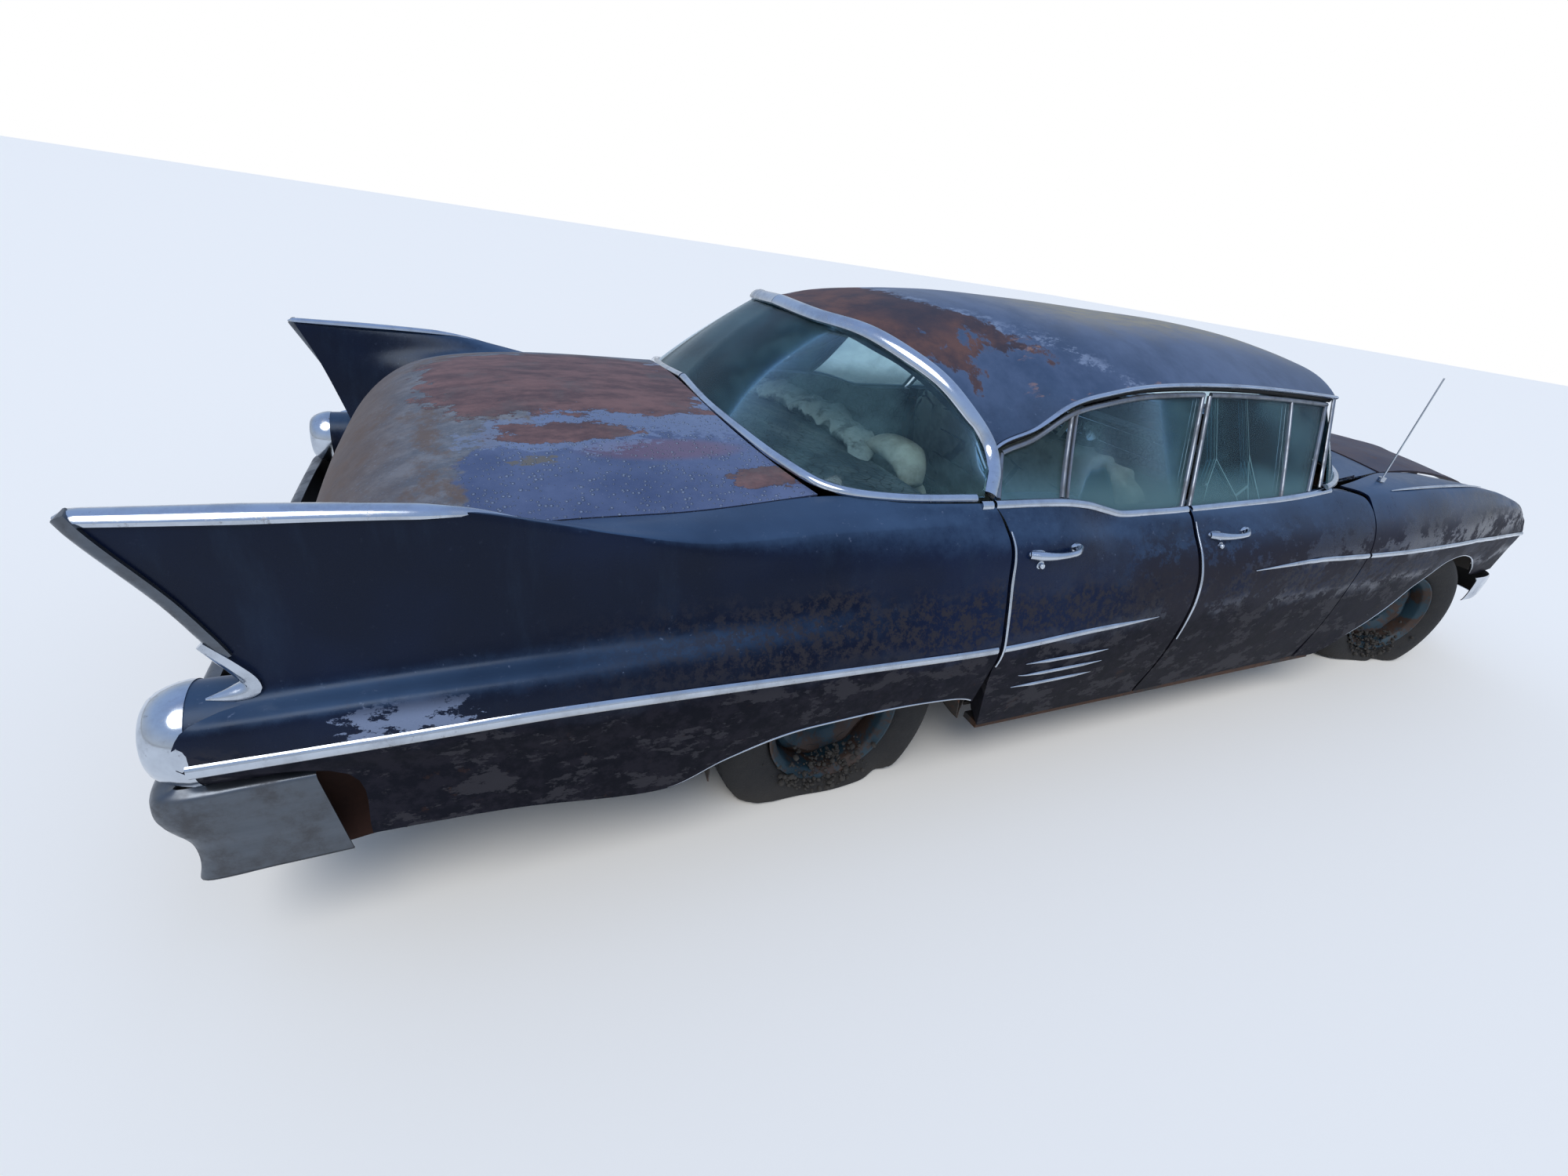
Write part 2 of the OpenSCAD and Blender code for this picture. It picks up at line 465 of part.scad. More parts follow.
color("#2a211c") placed() left_kingpin() knuckle();  // knuckle_left
color("#2d4450") placed() right_kingpin() on_stub() rim();  // front_rim_right
color("#2d4450") placed() left_kingpin() on_stub() rim();  // front_rim_left
color("#2d4450") placed() rear_wheel_place() rim();  // rear_rim_right
color("#2d4450") placed_left() rear_wheel_place() rim();  // rear_rim_left
color("#17181b") placed() right_kingpin() on_stub() tyre(front_hub_z);  // front_tyre_right
color("#17181b") placed() left_kingpin() on_stub() tyre(front_hub_z);  // front_tyre_left
color("#17181b") placed() rear_wheel_place() tyre(rear_hub_z);  // rear_tyre_right
color("#17181b") placed_left() rear_wheel_place() tyre(rear_hub_z);  // rear_tyre_left
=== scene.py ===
"""Looks of an abandoned saloon car: panels, glass, bright metal, seats, tyres and their weathering."""
import json
import math

import bmesh
import bpy
import numpy as np
from mathutils import Matrix, Vector, noise as fractals


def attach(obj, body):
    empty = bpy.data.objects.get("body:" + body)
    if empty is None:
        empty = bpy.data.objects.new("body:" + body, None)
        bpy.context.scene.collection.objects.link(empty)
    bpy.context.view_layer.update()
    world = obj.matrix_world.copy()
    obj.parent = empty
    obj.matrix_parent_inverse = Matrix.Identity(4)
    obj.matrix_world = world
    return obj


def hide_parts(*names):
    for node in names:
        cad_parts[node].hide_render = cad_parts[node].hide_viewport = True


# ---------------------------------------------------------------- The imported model
# The construction comes in as a fixed frame in metres. Lengths below are in
# millimetres from the middle of the wheelbase, which lies 362 mm ahead of the origin.
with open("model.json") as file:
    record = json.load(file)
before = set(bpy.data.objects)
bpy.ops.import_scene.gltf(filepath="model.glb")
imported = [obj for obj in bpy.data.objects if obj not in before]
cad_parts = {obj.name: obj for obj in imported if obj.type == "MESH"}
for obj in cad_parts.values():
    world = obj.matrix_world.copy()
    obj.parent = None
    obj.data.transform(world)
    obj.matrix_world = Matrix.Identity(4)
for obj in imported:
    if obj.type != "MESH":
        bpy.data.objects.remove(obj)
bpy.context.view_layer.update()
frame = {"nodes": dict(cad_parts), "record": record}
MIDDLE = 362.0
MM = 0.001
SIDES = {"right": -1, "left": 1}
# Thickness of the wings, of the broad lids and of the glass. They are shown a little thick.
STEEL, LID_STEEL, GLASS = 7, 10, 6


def metres(points):
    """Points in millimetres from mid-wheelbase, as points of the frame."""
    return (np.asarray(points, float) + (MIDDLE, 0, 0)) * MM


# ---------------------------------------------------------------- Camera and studio
# A very wide lens held high beside the right rear corner and rolled a little, a pale
# floor that keeps the car's shadow, a soft sky and one veiled sun.
HEADING, DIP, ROLL = math.radians(61.65), math.radians(-27.64), math.radians(9.11)
ahead = Vector((math.cos(DIP) * math.cos(HEADING), math.cos(DIP) * math.sin(HEADING), math.sin(DIP)))
level = ahead.cross(Vector((0, 0, 1))).normalized()
upright = level.cross(ahead)
across = level * math.cos(ROLL) + upright * math.sin(ROLL)
over = upright * math.cos(ROLL) - level * math.sin(ROLL)
lens = bpy.data.cameras.new("camera")
lens.lens = 14.97
lens.sensor_width = 36
lens.clip_start = 0.02
lens.clip_end = 300
camera = bpy.data.objects.new("camera", lens)
camera.matrix_world = Matrix((across, over, -ahead)).transposed().to_4x4()
camera.location = metres((-2559, -2113, 1474))
bpy.context.scene.collection.objects.link(camera)
bpy.context.scene.camera = camera
bpy.context.scene.view_settings.view_transform = "Standard"


class Value:
    """A number or colour that a shader node gives out, for use in sums as a plain number is."""

    def __init__(self, socket):
        self.socket = socket

    def __add__(self, other):
        return maths("ADD", self, other)

    def __sub__(self, other):
        return maths("SUBTRACT", self, other)

    def __rsub__(self, other):
        return maths("SUBTRACT", other, self)

    def __mul__(self, other):
        return maths("MULTIPLY", self, other)

    def __truediv__(self, other):
        return maths("DIVIDE", self, other)

    def __pow__(self, other):
        return maths("POWER", self, other)

    def __abs__(self):
        return maths("ABSOLUTE", self)


def plug(made, name, value):
    """Give a node's input, by its name or number, a setting or what another node gives out."""
    target = made.inputs[name]
    if isinstance(value, Value):
        tree.links.new(value.socket, target)
    elif isinstance(value, tuple) and target.type == "RGBA":
        target.default_value = (*value, 1)
    else:
        target.default_value = value


def node(kind, inputs=(), output=0, **settings):
    """A new shader node in the tree in hand, and what it gives out at one of its outputs."""
    made = tree.nodes.new("ShaderNode" + kind)
    for name, value in settings.items():
        setattr(made, name, value)
    for name, value in dict(inputs).items():
        plug(made, name, value)
    return Value(made.outputs[output]) if made.outputs else None


def maths(how, a, b=0.5):
    """A sum of two values, or a function of the first."""
    return node("Math", {0: a, 1: b}, operation=how)


def most(*values):
    """The largest of some values."""
    largest = values[0]
    for value in values[1:]:
        largest = maths("MAXIMUM", largest, value)
    return largest


def split(vector):
    """The parts of a vector, by axis."""
    return {axis: node("SeparateXYZ", {"Vector": vector}, axis) for axis in "XYZ"}


world = bpy.data.worlds.new("soft_sky")
bpy.context.scene.world = world
world.use_nodes = True
tree = world.node_tree
tree.nodes.clear()
seen = node("LightPath", (), "Is Camera Ray")
height = split(node("TexCoord", (), "Generated"))["Z"]
dome = node("ValToRGB", {"Fac": height})
stops = dome.socket.node.color_ramp.elements
HORIZON, HAZE, MIDSKY = (0.34, 0.35, 0.36, 1), (0.74, 0.80, 0.88, 1), (0.50, 0.66, 0.96, 1)
for low, colour in ((0.0, HORIZON), (0.05, HAZE), (0.5, MIDSKY)):
    stops.new(low).color = colour
stops[-1].color = (0.42, 0.58, 0.95, 1)
stops.remove(stops[0])
glow = node("Background", {"Color": dome, "Strength": 0.8})
paper = node("Background", {"Color": (1, 1, 1), "Strength": 1.0})
node("OutputWorld", {"Surface": node("MixShader", {0: seen, 1: glow, 2: paper})})

floor_mesh = bpy.data.meshes.new("floor")
floor_mesh.from_pydata([(-90, -90, 0), (90, -90, 0), (90, 90, 0), (-90, 90, 0)], [], [(0, 1, 2, 3)])
floor = bpy.data.objects.new("floor", floor_mesh)
bpy.context.scene.collection.objects.link(floor)
pale = bpy.data.materials.new("pale_floor")
pale.use_nodes = True
pale.node_tree.nodes["Principled BSDF"].inputs["Base Color"].default_value = (1.0, 0.955, 0.86, 1)
pale.node_tree.nodes["Principled BSDF"].inputs["Roughness"].default_value = 0.9
pale.node_tree.nodes["Principled BSDF"].inputs["Specular IOR Level"].default_value = 0.1
floor_mesh.materials.append(pale)

sun_data = bpy.data.lights.new("veiled_sun", "SUN")
sun_data.energy = 1.5
sun_data.angle = math.radians(35)
sun_data.color = (1.0, 0.96, 0.90)
veiled_sun = bpy.data.objects.new("veiled_sun", sun_data)
veiled_sun.rotation_euler = Vector((0.35, 0.45, -0.82)).to_track_quat("-Z", "Y").to_euler()
bpy.context.scene.collection.objects.link(veiled_sun)

# ---------------------------------------------------------------- Paint
# Old navy paint. It chalks to grey-blue where it faces the sky, and low on the sides it
# is stained, scuffed and peeling down to grey primer and brown rust.


def material(name, rough=0.5, metal=0.0):
    """A new material, its tree, which becomes the tree in hand, and its shader."""
    made = bpy.data.materials.new(name)
    made.use_nodes = True
    shader = made.node_tree.nodes["Principled BSDF"]
    shader.inputs["Roughness"].default_value = rough
    shader.inputs["Metallic"].default_value = metal
    return made, made.node_tree, shader


def ramp(value, low, high, low_out=0.0, high_out=1.0):
    """A smooth step of a value, from low_out at low to high_out at high."""
    inputs = {"Value": value, "From Min": low, "From Max": high, "To Min": low_out, "To Max": high_out}
    return node("MapRange", inputs, "Result", interpolation_type="SMOOTHSTEP")


def blend(share, a, b):
    """Colour a where share is 0 and colour b where it is 1."""
    return node("Mix", {0: share, 6: a, 7: b}, 2, data_type="RGBA")


def object_place():
    """Where a point lies on its piece, in metres."""
    return node("TexCoord", (), "Object")


def cloud(scale, detail=6, rough=0.6, stretch=(1, 1, 1)):
    """Fractal noise from 0 to 1, with its cells stretched along the axes."""
    mapped = node("Mapping", {"Vector": object_place(), "Scale": stretch})
    inputs = {"Vector": mapped, "Scale": scale, "Detail": detail, "Roughness": rough}
    return node("TexNoise", inputs, "Fac")


def cracking(scale, stretch=(1, 1, 1)):
    """How far a point is from the nearest edge in a net of cracks."""
    mapped = node("Mapping", {"Vector": object_place(), "Scale": stretch})
    return node("TexVoronoi", {"Vector": mapped, "Scale": scale}, "Distance", feature="DISTANCE_TO_EDGE")


def ribbing(scale, axis):
    """Even ribs across an axis, from 0 to 1."""
    return node("TexWave", {"Vector": object_place(), "Scale": scale}, "Fac", bands_direction=axis)


def patch(xyz, centre, half, ragged, soft=0.05, power=2.5):
    """1 inside a patch of the plan, given in mm, with an edge broken up by a noise."""
    far = 0.0
    for axis, middle, reach in zip("XY", metres((*centre, 0)), half):
        off = xyz[axis] - float(middle)
        share = abs(off) / (reach * MM)
        far = share**power + far
    return ramp(far + ragged, 1 + soft, 1 - soft)


def broken(noise_value, amount):
    """A noise centred on 0, to be added to an edge."""
    return (noise_value - 0.5) * amount


def bump(shader, height_value, strength, distance):
    """Relief on a material, from a value that says how high it stands."""
    made = node("Bump", {"Height": height_value, "Strength": strength, "Distance": distance})
    plug(shader, "Normal", made)


def paint_base():
    """Colour and roughness of navy paint that has stood outside for decades."""
    xyz = split(object_place())
    skyward = split(node("NewGeometry", (), "Normal"))["Z"]
    large = cloud(1.6, 4, 0.55)
    fine = cloud(24, 9, 0.72)
    streak = cloud(9, 7, 0.65, (1, 1, 0.22))
    navy = blend(ramp(large, 0.35, 0.68), (0.0017, 0.0036, 0.014), (0.0038, 0.01, 0.036))
    navy = blend(ramp(streak, 0.52, 0.75, 0, 0.35), navy, (0.014, 0.027, 0.052))
    edge = skyward + broken(fine, 0.45)
    chalk = ramp(edge, 0.3, 0.95) * ramp(large, 0.3, 0.62, 0.45, 0.95)
    colour = blend(chalk, navy, (0.042, 0.082, 0.155))
    scuffs = ramp(cloud(55, 8, 0.8), 0.6, 0.7)
    colour = blend(scuffs * ramp(skyward, 0.2, 0.6, 0.05, 0.5), colour, (0.2, 0.25, 0.36))
    return xyz, skyward, large, fine, streak, colour, chalk


paint, tree, shader = material("weathered_navy_paint", 0.4)
xyz, skyward, large, fine, streak, colour, chalk = paint_base()
# The band over the crease is speckled brown where damp has lain under the paint.
blister = cloud(42, 10, 0.8)
level_z = xyz["Z"] + broken(cloud(4, 6, 0.7), 0.24)
band = ramp(level_z, 0.56, 0.62) * ramp(level_z, 0.76, 0.69)
band = band * ramp(xyz["X"], -2.2, -1.5)
colour = blend(band * ramp(blister, 0.46, 0.55, 0, 0.85), colour, (0.027, 0.024, 0.028))
# Further forward the same damp has left broad dark mottles.
mottle = ramp(cloud(6.5, 10, 0.76, (1, 1, 1.3)), 0.47, 0.53)
forward = ramp(xyz["X"], -0.55, -0.25) * ramp(xyz["Z"], 0.9, 0.74)
colour = blend(mottle * forward * 0.85, colour, (0.022, 0.02, 0.026))
# Below the bright spears the gloss has gone altogether.
low = ramp(level_z, 0.6, 0.52)
primer = blend(ramp(fine, 0.42, 0.6), (0.004, 0.004, 0.0075), (0.0135, 0.012, 0.0175))
colour = blend(low * 0.93, colour, primer)
flakes = ramp(cloud(7, 8, 0.72, (1, 1, 1.8)), 0.53, 0.56) * low
colour = blend(flakes * 0.8, colour, (0.036, 0.034, 0.04))
rust_spots = ramp(cloud(13, 9, 0.75), 0.6, 0.66) * ramp(xyz["Z"], 0.75, 0.3)
colour = blend(rust_spots * 0.6, colour, (0.036, 0.017, 0.012))
# Pale bare patches on the shelf that the rear pods make under the fins.
shelf = ramp(xyz["Z"], 0.555, 0.575) * ramp(xyz["Z"], 0.65, 0.6)
flaking = ramp(xyz["X"], -2.1, -2.32) * ramp(xyz["X"], -2.54, -2.4)
flaking = cloud(8, 10, 0.75, (0.8, 1, 1.5)) + ramp(flaking, 0, 1, -0.26, 0.02)
shelf = shelf * ramp(flaking, 0.5, 0.515)
colour = blend(shelf * 0.8, colour, (0.21, 0.26, 0.38))
plug(shader, "Base Color", colour)
dull = most(low, band * 0.7, mottle * forward)
gloss = ramp(dull + chalk * 0.45, 0.0, 1.0, 0.27, 0.62)
plug(shader, "Roughness", gloss + broken(fine, 0.22))
plug(shader, "Specular Tint", (0.72, 0.84, 1.0))
plug(shader, "Specular IOR Level", ramp(dull, 0, 1, 0.24, 0.09))
grain = fine * 0.5 + (flakes + band * blister) * -0.5
bump(shader, grain, 0.35, 0.0022)

# ---------------------------------------------------------------- Rear quarters with their fins
# Pressed steel from the rear door back to the tail, each swelling into a long low pod
# under the bright spear and rising into a fin. The lines run from back to front as
# (x, half-width, height), and every panel is stretched between them.
QUARTER_BOTTOM = [(-2860, 972, 300), (-2539, 977, 293), (-2184, 976, 252), (-2035, 980, 312),
                  (-1874, 983, 360), (-1726, 984, 374), (-1536, 984, 381), (-1376, 983, 375),
                  (-1285, 980, 361), (-1200, 976, 320)]
LOW = [(-3040, 968, 492), (-2860, 986, 482), (-2184, 1002, 440), (-1700, 1005, 472),
       (-1252, 1002, 462), (-1100, 1000, 425), (-430, 990, 415), (585, 976, 425), (900, 972, 450),
       (1162, 967, 520), (1400, 955, 606), (1650, 940, 655), (1894, 918, 625), (2055, 904, 575),
       (2387, 868, 575)]
SPEAR = [(-3040, 985, 535), (-2700, 1010, 560), (-2400, 1016, 570), (-1700, 1015, 558),
         (-1240, 1014, 553), (-900, 1010, 570), (-568, 1004, 582), (0, 998, 640), (585, 990, 690),
         (1000, 982, 705), (1400, 965, 712), (1800, 935, 706), (2100, 905, 700), (2387, 878, 682)]
SHOULDER = [(-3030, 972, 612), (-2700, 992, 640), (-2100, 994, 642), (-1500, 992, 642),
            (-1240, 992, 650), (-900, 990, 662), (-568, 988, 684), (0, 986, 732), (585, 980, 775),
            (1000, 973, 792), (1500, 948, 792), (2100, 890, 778), (2387, 866, 722)]
VALLEY = [(-3020, 926, 652), (-2700, 932, 660), (-2100, 946, 690), (-1700, 956, 720),
          (-1240, 966, 742), (-1000, 964, 748), (-800, 956, 750), (-568, 952, 762), (0, 958, 802),
          (585, 955, 838), (1000, 948, 858), (1500, 924, 856), (2100, 878, 826), (2387, 856, 746)]
UPPER = [(-3000, 908, 800), (-2500, 910, 792), (-2100, 920, 792), (-1700, 932, 815),
         (-1240, 938, 832), (-1000, 935, 836), (-800, 912, 824), (-568, 908, 822), (0, 918, 856),
         (585, 918, 890), (1000, 911, 914), (1500, 890, 908), (2100, 858, 852), (2387, 842, 762)]
CREST = [(-3106, 914, 976), (-2581, 912, 969), (-2431, 910, 942), (-2282, 907, 910),
         (-2103, 905, 880), (-1860, 895, 882), (-1500, 895, 888), (-1240, 892, 893),
         (-1000, 890, 890), (-800, 874, 866), (-568, 876, 868), (0, 882, 892), (585, 880, 930),
         (1000, 872, 945), (1500, 855, 941), (1806, 845, 914), (2064, 838, 872), (2248, 833, 828),
         (2387, 828, 772)]
CREST_INNER = [(-3100, 888, 974), (-2581, 886, 967), (-2431, 882, 941), (-2282, 874, 914),
               (-2103, 868, 897), (-1860, 852, 902), (-1500, 868, 909), (-1250, 878, 917)]
FIN_INNER = [(-3030, 868, 840), (-2900, 858, 880), (-2700, 850, 908), (-2431, 842, 921),
             (-2282, 834, 914), (-2103, 828, 906), (-1860, 812, 914), (-1500, 850, 925),
             (-1250, 866, 930)]
TRUNK_SEAM = [(-2945, 817, 580), (-2893, 814, 690), (-2828, 811, 775), (-2726, 808, 845),
              (-2600, 804, 880), (-2400, 796, 899), (-2100, 785, 906), (-1800, 766, 928),
              (-1700, 792, 938), (-1560, 830, 933), (-1294, 858, 935)]


def distances(path):
    """How far each point of a path is from its first one, along the path."""
    return np.concatenate(([0], np.cumsum(np.linalg.norm(np.diff(path, axis=0), axis=1))))


def around(count):
    """Angles that divide a whole turn evenly."""
    return np.linspace(0, 2 * math.pi, count, endpoint=False)


def smooth(knots, points, at):
    """A smooth curve through points, given at knots and read at other places."""
    t, p, q = np.asarray(knots, float), np.asarray(points, float), np.atleast_1d(np.asarray(at, float))
    shape = (-1,) + (1,) * (p.ndim - 1)
    slopes = np.empty_like(p)
    slopes[0], slopes[-1] = (p[1] - p[0]) / (t[1] - t[0]), (p[-1] - p[-2]) / (t[-1] - t[-2])
    slopes[1:-1] = (p[2:] - p[:-2]) / (t[2:] - t[:-2]).reshape(shape)
    i = np.clip(np.searchsorted(t, q, side="right") - 1, 0, len(t) - 2)
    h = (t[i + 1] - t[i]).reshape(shape)
    u = ((q - t[i]) / (t[i + 1] - t[i])).reshape(shape)
    return ((2 * u**3 - 3 * u**2 + 1) * p[i] + (u**3 - 2 * u**2 + u) * h * slopes[i]
            + (3 * u**2 - 2 * u**3) * p[i + 1] + (u**3 - u**2) * h * slopes[i + 1])


def along(line, x):
    """The points of a body line at the places x."""
    table = np.array(line, float)
    return smooth(table[:, 0], table, x)


def grid_of(x, y, z):
    """A grid of points from its coordinates, each of which may vary along one way only."""
    return np.stack(np.broadcast_arrays(x, y, z), -1)


def side_grid(lines, backs, fronts, columns, per_row):
    """A fine grid over the right side, stretched smoothly from line to line."""
    share = np.linspace(0, 1, columns + 1)
    rows = np.array([along(l, b + (f - b) * share) for l, b, f in zip(lines, backs, fronts)])
    knots = np.concatenate(([0], np.cumsum(np.linalg.norm(rows[1:] - rows[:-1], axis=2).mean(1))))
    steps = [np.linspace(a, b, per_row, endpoint=False) for a, b in zip(knots, knots[1:])]
    grid = smooth(knots, rows, np.concatenate(steps + [knots[-1:]]))
    grid[..., 1] *= -1
    return grid


def normals(grid):
    """Unit normals of a grid, pointing out of the car."""
    n = np.cross(np.gradient(grid, axis=1), np.gradient(grid, axis=0))
    return n / np.linalg.norm(n, axis=2, keepdims=True)


def inset(grid, thickness):
    """The grid moved inwards, along its own normals."""
    return grid - normals(grid) * thickness


def dented(grid, seed, depth=1.6):
    """The grid with the slight waves of old pressings, fading out towards its edges."""
    random = np.random.default_rng(seed)
    wave = np.zeros(grid.shape[:2])
    for _ in range(7):
        wave += np.sin(grid @ random.normal(0, 0.009, 3) + random.uniform(0, 6.3))
    rows, cols = (np.linspace(0, 1, count) for count in grid.shape[:2])
    row_calm, col_calm = (np.clip(np.minimum(k, 1 - k) * 12, 0, 1) for k in (rows, cols))
    calm = row_calm[:, None] * col_calm
    return grid - normals(grid) * (depth * 0.45 * (wave + 1) * calm)[..., None]


def piece(name, mesh, materials, body, replaces=()):
    """A mesh as a piece that rides on a body and stands for parts of the construction."""
    made = bpy.data.objects.new(name, mesh)
    bpy.context.scene.collection.objects.link(made)
    for one in materials:
        mesh.materials.append(one)
    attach(made, body)
    if replaces:
        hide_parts(*replaces)
    return made


def pair(make, name, *given, once=(), **named):
    """A piece on the right and the same on the left. What both stand for is named once."""
    for which, side in SIDES.items():
        stands_for = {"replaces": once} if once and which == "right" else {}
        make(f"{name}_{which}", *given, side=side, **named, **stands_for)


def sheet(name, outer, inner, materials, body="car_body", side=-1, slot="body_paint", replaces=(), sharp=32):
    """A closed sheet between two grids. The first material is outside, the last one inside."""
    rows, cols = outer.shape[:2]
    points = np.concatenate((outer.reshape(-1, 3), inner.reshape(-1, 3)))
    half = rows * cols
    a = (np.arange(rows - 1)[:, None] * cols + np.arange(cols - 1)).ravel()
    skin = np.stack((a, a + 1, a + cols + 1, a + cols), 1)
    lining = skin[:, ::-1] + half
    i, k = np.arange(cols - 1), np.arange(rows - 1)
    top, front = (rows - 1) * cols + i, k * cols + cols - 1
    rims = [np.stack((i + 1, i, i + half, i + 1 + half), 1),
            np.stack((top, top + 1, top + 1 + half, top + half), 1),
            np.stack((front + cols, front, front + half, front + cols + half), 1),
            np.stack((k * cols, k * cols + cols, k * cols + cols + half, k * cols + half), 1)]
    faces = np.concatenate([skin] + rims + [lining])
    if side > 0:
        points, faces = points * (1, -1, 1), faces[:, ::-1]
    mesh = bpy.data.meshes.new(name)
    mesh.from_pydata(metres(points).tolist(), [], faces.tolist())
    index = np.zeros(len(faces), int)
    index[-len(lining):] = len(materials) - 1
    mesh.polygons.foreach_set("material_index", index)
    mesh.shade_smooth()
    mesh.set_sharp_from_angle(angle=math.radians(sharp))
    return piece(name, mesh, materials, body, replaces)


quarter_grid = side_grid([QUARTER_BOTTOM, LOW, SPEAR, SHOULDER, VALLEY, UPPER, CREST, CREST_INNER, FIN_INNER,
                          TRUNK_SEAM], [-2796, -2811, -3040, -3034, -2945, -3000, -3098, -3092, -3030, -2940],
                         [-1254, -1254, -1254, -1254, -1254, -1252, -1264, -1276, -1286, -1294], 120, 6)
for name, side in SIDES.items():
    sheet(f"rear_quarter_skin_{name}", dented(quarter_grid, 3 + side), inset(quarter_grid, STEEL), [paint],
          side=side, replaces=[f"rear_quarter_{name}"])

# ---------------------------------------------------------------- Front fenders
# Pressed steel from the front doors to the headlamp hoods, cut away in a long sweep
# over the front wheels.
FENDER_BOTTOM = [(597, 945, 215), (740, 956, 222), (877, 970, 305), (1020, 966, 362),
                 (1162, 958, 429), (1263, 952, 494), (1397, 943, 551), (1500, 936, 597),
                 (1626, 927, 617), (1746, 917, 611), (1894, 905, 574), (2001, 896, 515),
                 (2060, 888, 470), (2370, 862, 470)]
HOOD_SEAM = [(402, 842, 950), (597, 808, 960), (800, 762, 966), (1000, 718, 963),
             (1400, 684, 945), (1900, 644, 880), (2200, 608, 822), (2352, 592, 772)]
fender_grid = side_grid([FENDER_BOTTOM, LOW, SPEAR, SHOULDER, VALLEY, UPPER, CREST, HOOD_SEAM],
                        [597, 597, 597, 597, 597, 597, 596, 474],
                        [2362, 2368, 2375, 2378, 2378, 2376, 2368, 2345], 110, 6)
for name, side in SIDES.items():
    sheet(f"front_fender_skin_{name}", dented(fender_grid, 8 + side), inset(fender_grid, STEEL), [paint],
          side=side, replaces=[f"front_fender_{name}"])

# ---------------------------------------------------------------- Doors
# Each door is one thick steel box: the outer skin follows the body's lines and the
# inner face is flatter and trimmed with worn vinyl.
DOOR_BOTTOM = [(-1180, 950, 215), (-430, 946, 213), (590, 940, 215)]
BELT = [(-1300, 858, 935), (-1031, 856, 935), (-918, 855, 924), (-831, 852, 905), (-754, 850, 889),
        (-630, 850, 889), (-455, 850, 893), (-174, 850, 905), (60, 850, 916), (223, 848, 928),
        (400, 840, 944)]
DOOR_LINES = [DOOR_BOTTOM, LOW, SPEAR, SHOULDER, VALLEY, UPPER, CREST, BELT]
door_grids = {"front_door": side_grid(DOOR_LINES, [-427, -427, -427, -427, -427, -427, -426, -422],
                                      [589, 589, 589, 589, 589, 588, 552, 386], 60, 6),
              "rear_door": side_grid(DOOR_LINES, [-1166, -1245, -1245, -1245, -1245, -1243, -1255, -1284],
                                     [-439] * 8, 60, 6)}
vinyl, tree, shader = material("cracked_vinyl", 0.65)
tone = blend(ramp(cloud(7, 7, 0.65), 0.35, 0.65), (0.055, 0.07, 0.08), (0.16, 0.17, 0.165))
cracks = cracking(34)
plug(shader, "Base Color", blend(ramp(cracks, 0.06, 0.01), tone, (0.025, 0.02, 0.016)))
bump(shader, ramp(cracks, 0.0, 0.09), 0.5, 0.002)
for door, grid in door_grids.items():
    inner = grid.copy()
    inner[..., 0] = np.maximum(inner[..., 0], grid[:, :1, 0] + 40)
    depth = 872 + (785 - 872) * (grid[..., 2] - 215) / 690
    inner[..., 1] = -np.where(grid[..., 0] > 180, np.maximum(depth, 822), depth)
    for name, side in SIDES.items():
        sheet(f"{door}_panel_{name}", dented(grid, 20 + side, 1.2), inner, [paint, vinyl],
              body=f"{door}_{name}", side=side, replaces=[f"{door}_{name}"])

# ---------------------------------------------------------------- Roof
# One crowned pressing between the two wraparound windows. Its rear third has rusted
# red-brown up to a ragged edge, the front is chalky blue under a yellow-brown haze.
RAIL = [(-1600, 830, 930), (-1357, 805, 940), (-1280, 790, 945), (-1240, 762, 985),
        (-1205, 712, 1045), (-1056, 700, 1107), (-930, 690, 1179), (-785, 684, 1216),
        (-609, 678, 1244), (-324, 670, 1261), (10, 662, 1265), (492, 645, 1252), (700, 640, 1240)]
RIDGE = [(-1605, 1303), (-1485, 1325), (-1398, 1349), (-1278, 1371), (-1118, 1388), (-764, 1404),
         (-300, 1408), (100, 1405), (376, 1396), (560, 1376), (700, 1346)]
REAR_GLASS_LOW = [(0, -1905, 0, 1043), (0.2, -1904, 238, 1024), (0.4, -1872, 470, 1002),
                  (0.55, -1822, 640, 976), (0.68, -1741, 755, 950), (0.85, -1560, 812, 940),
                  (1, -1306, 840, 944)]
REAR_GLASS_TOP = [(0, -1605, 0, 1300), (0.2, -1590, 210, 1295), (0.4, -1508, 400, 1277),
                  (0.55, -1437, 500, 1250), (0.68, -1357, 600, 1196), (0.85, -1280, 680, 1114),
                  (1, -1262, 775, 1012)]
ROOF_ROUND = 2.6


def roof_row(v, columns):
    """A row of roof points at a share v of the half-width, from the rear glass to the windscreen."""
    s = abs(v)
    e = along(REAR_GLASS_TOP, min(s * 0.93, 0.9))[0]
    back = -1205 if s == 1 else e[1] + 10
    front = 505 + 190 * (1 - s**ROOF_ROUND)
    q_back = 1 if s == 1 else e[2] / along(RAIL, back)[0][1]
    u = np.linspace(0, 1, columns + 1)
    x = back + (front - back) * u
    q = q_back + (s - q_back) * np.minimum(1, u * 2.2)
    rail, ridge = along(RAIL, x), along(RIDGE, x)
    return grid_of(x, rail[:, 1] * q * np.sign(v), ridge[:, 1] - (ridge[:, 1] - rail[:, 2]) * q**ROOF_ROUND)


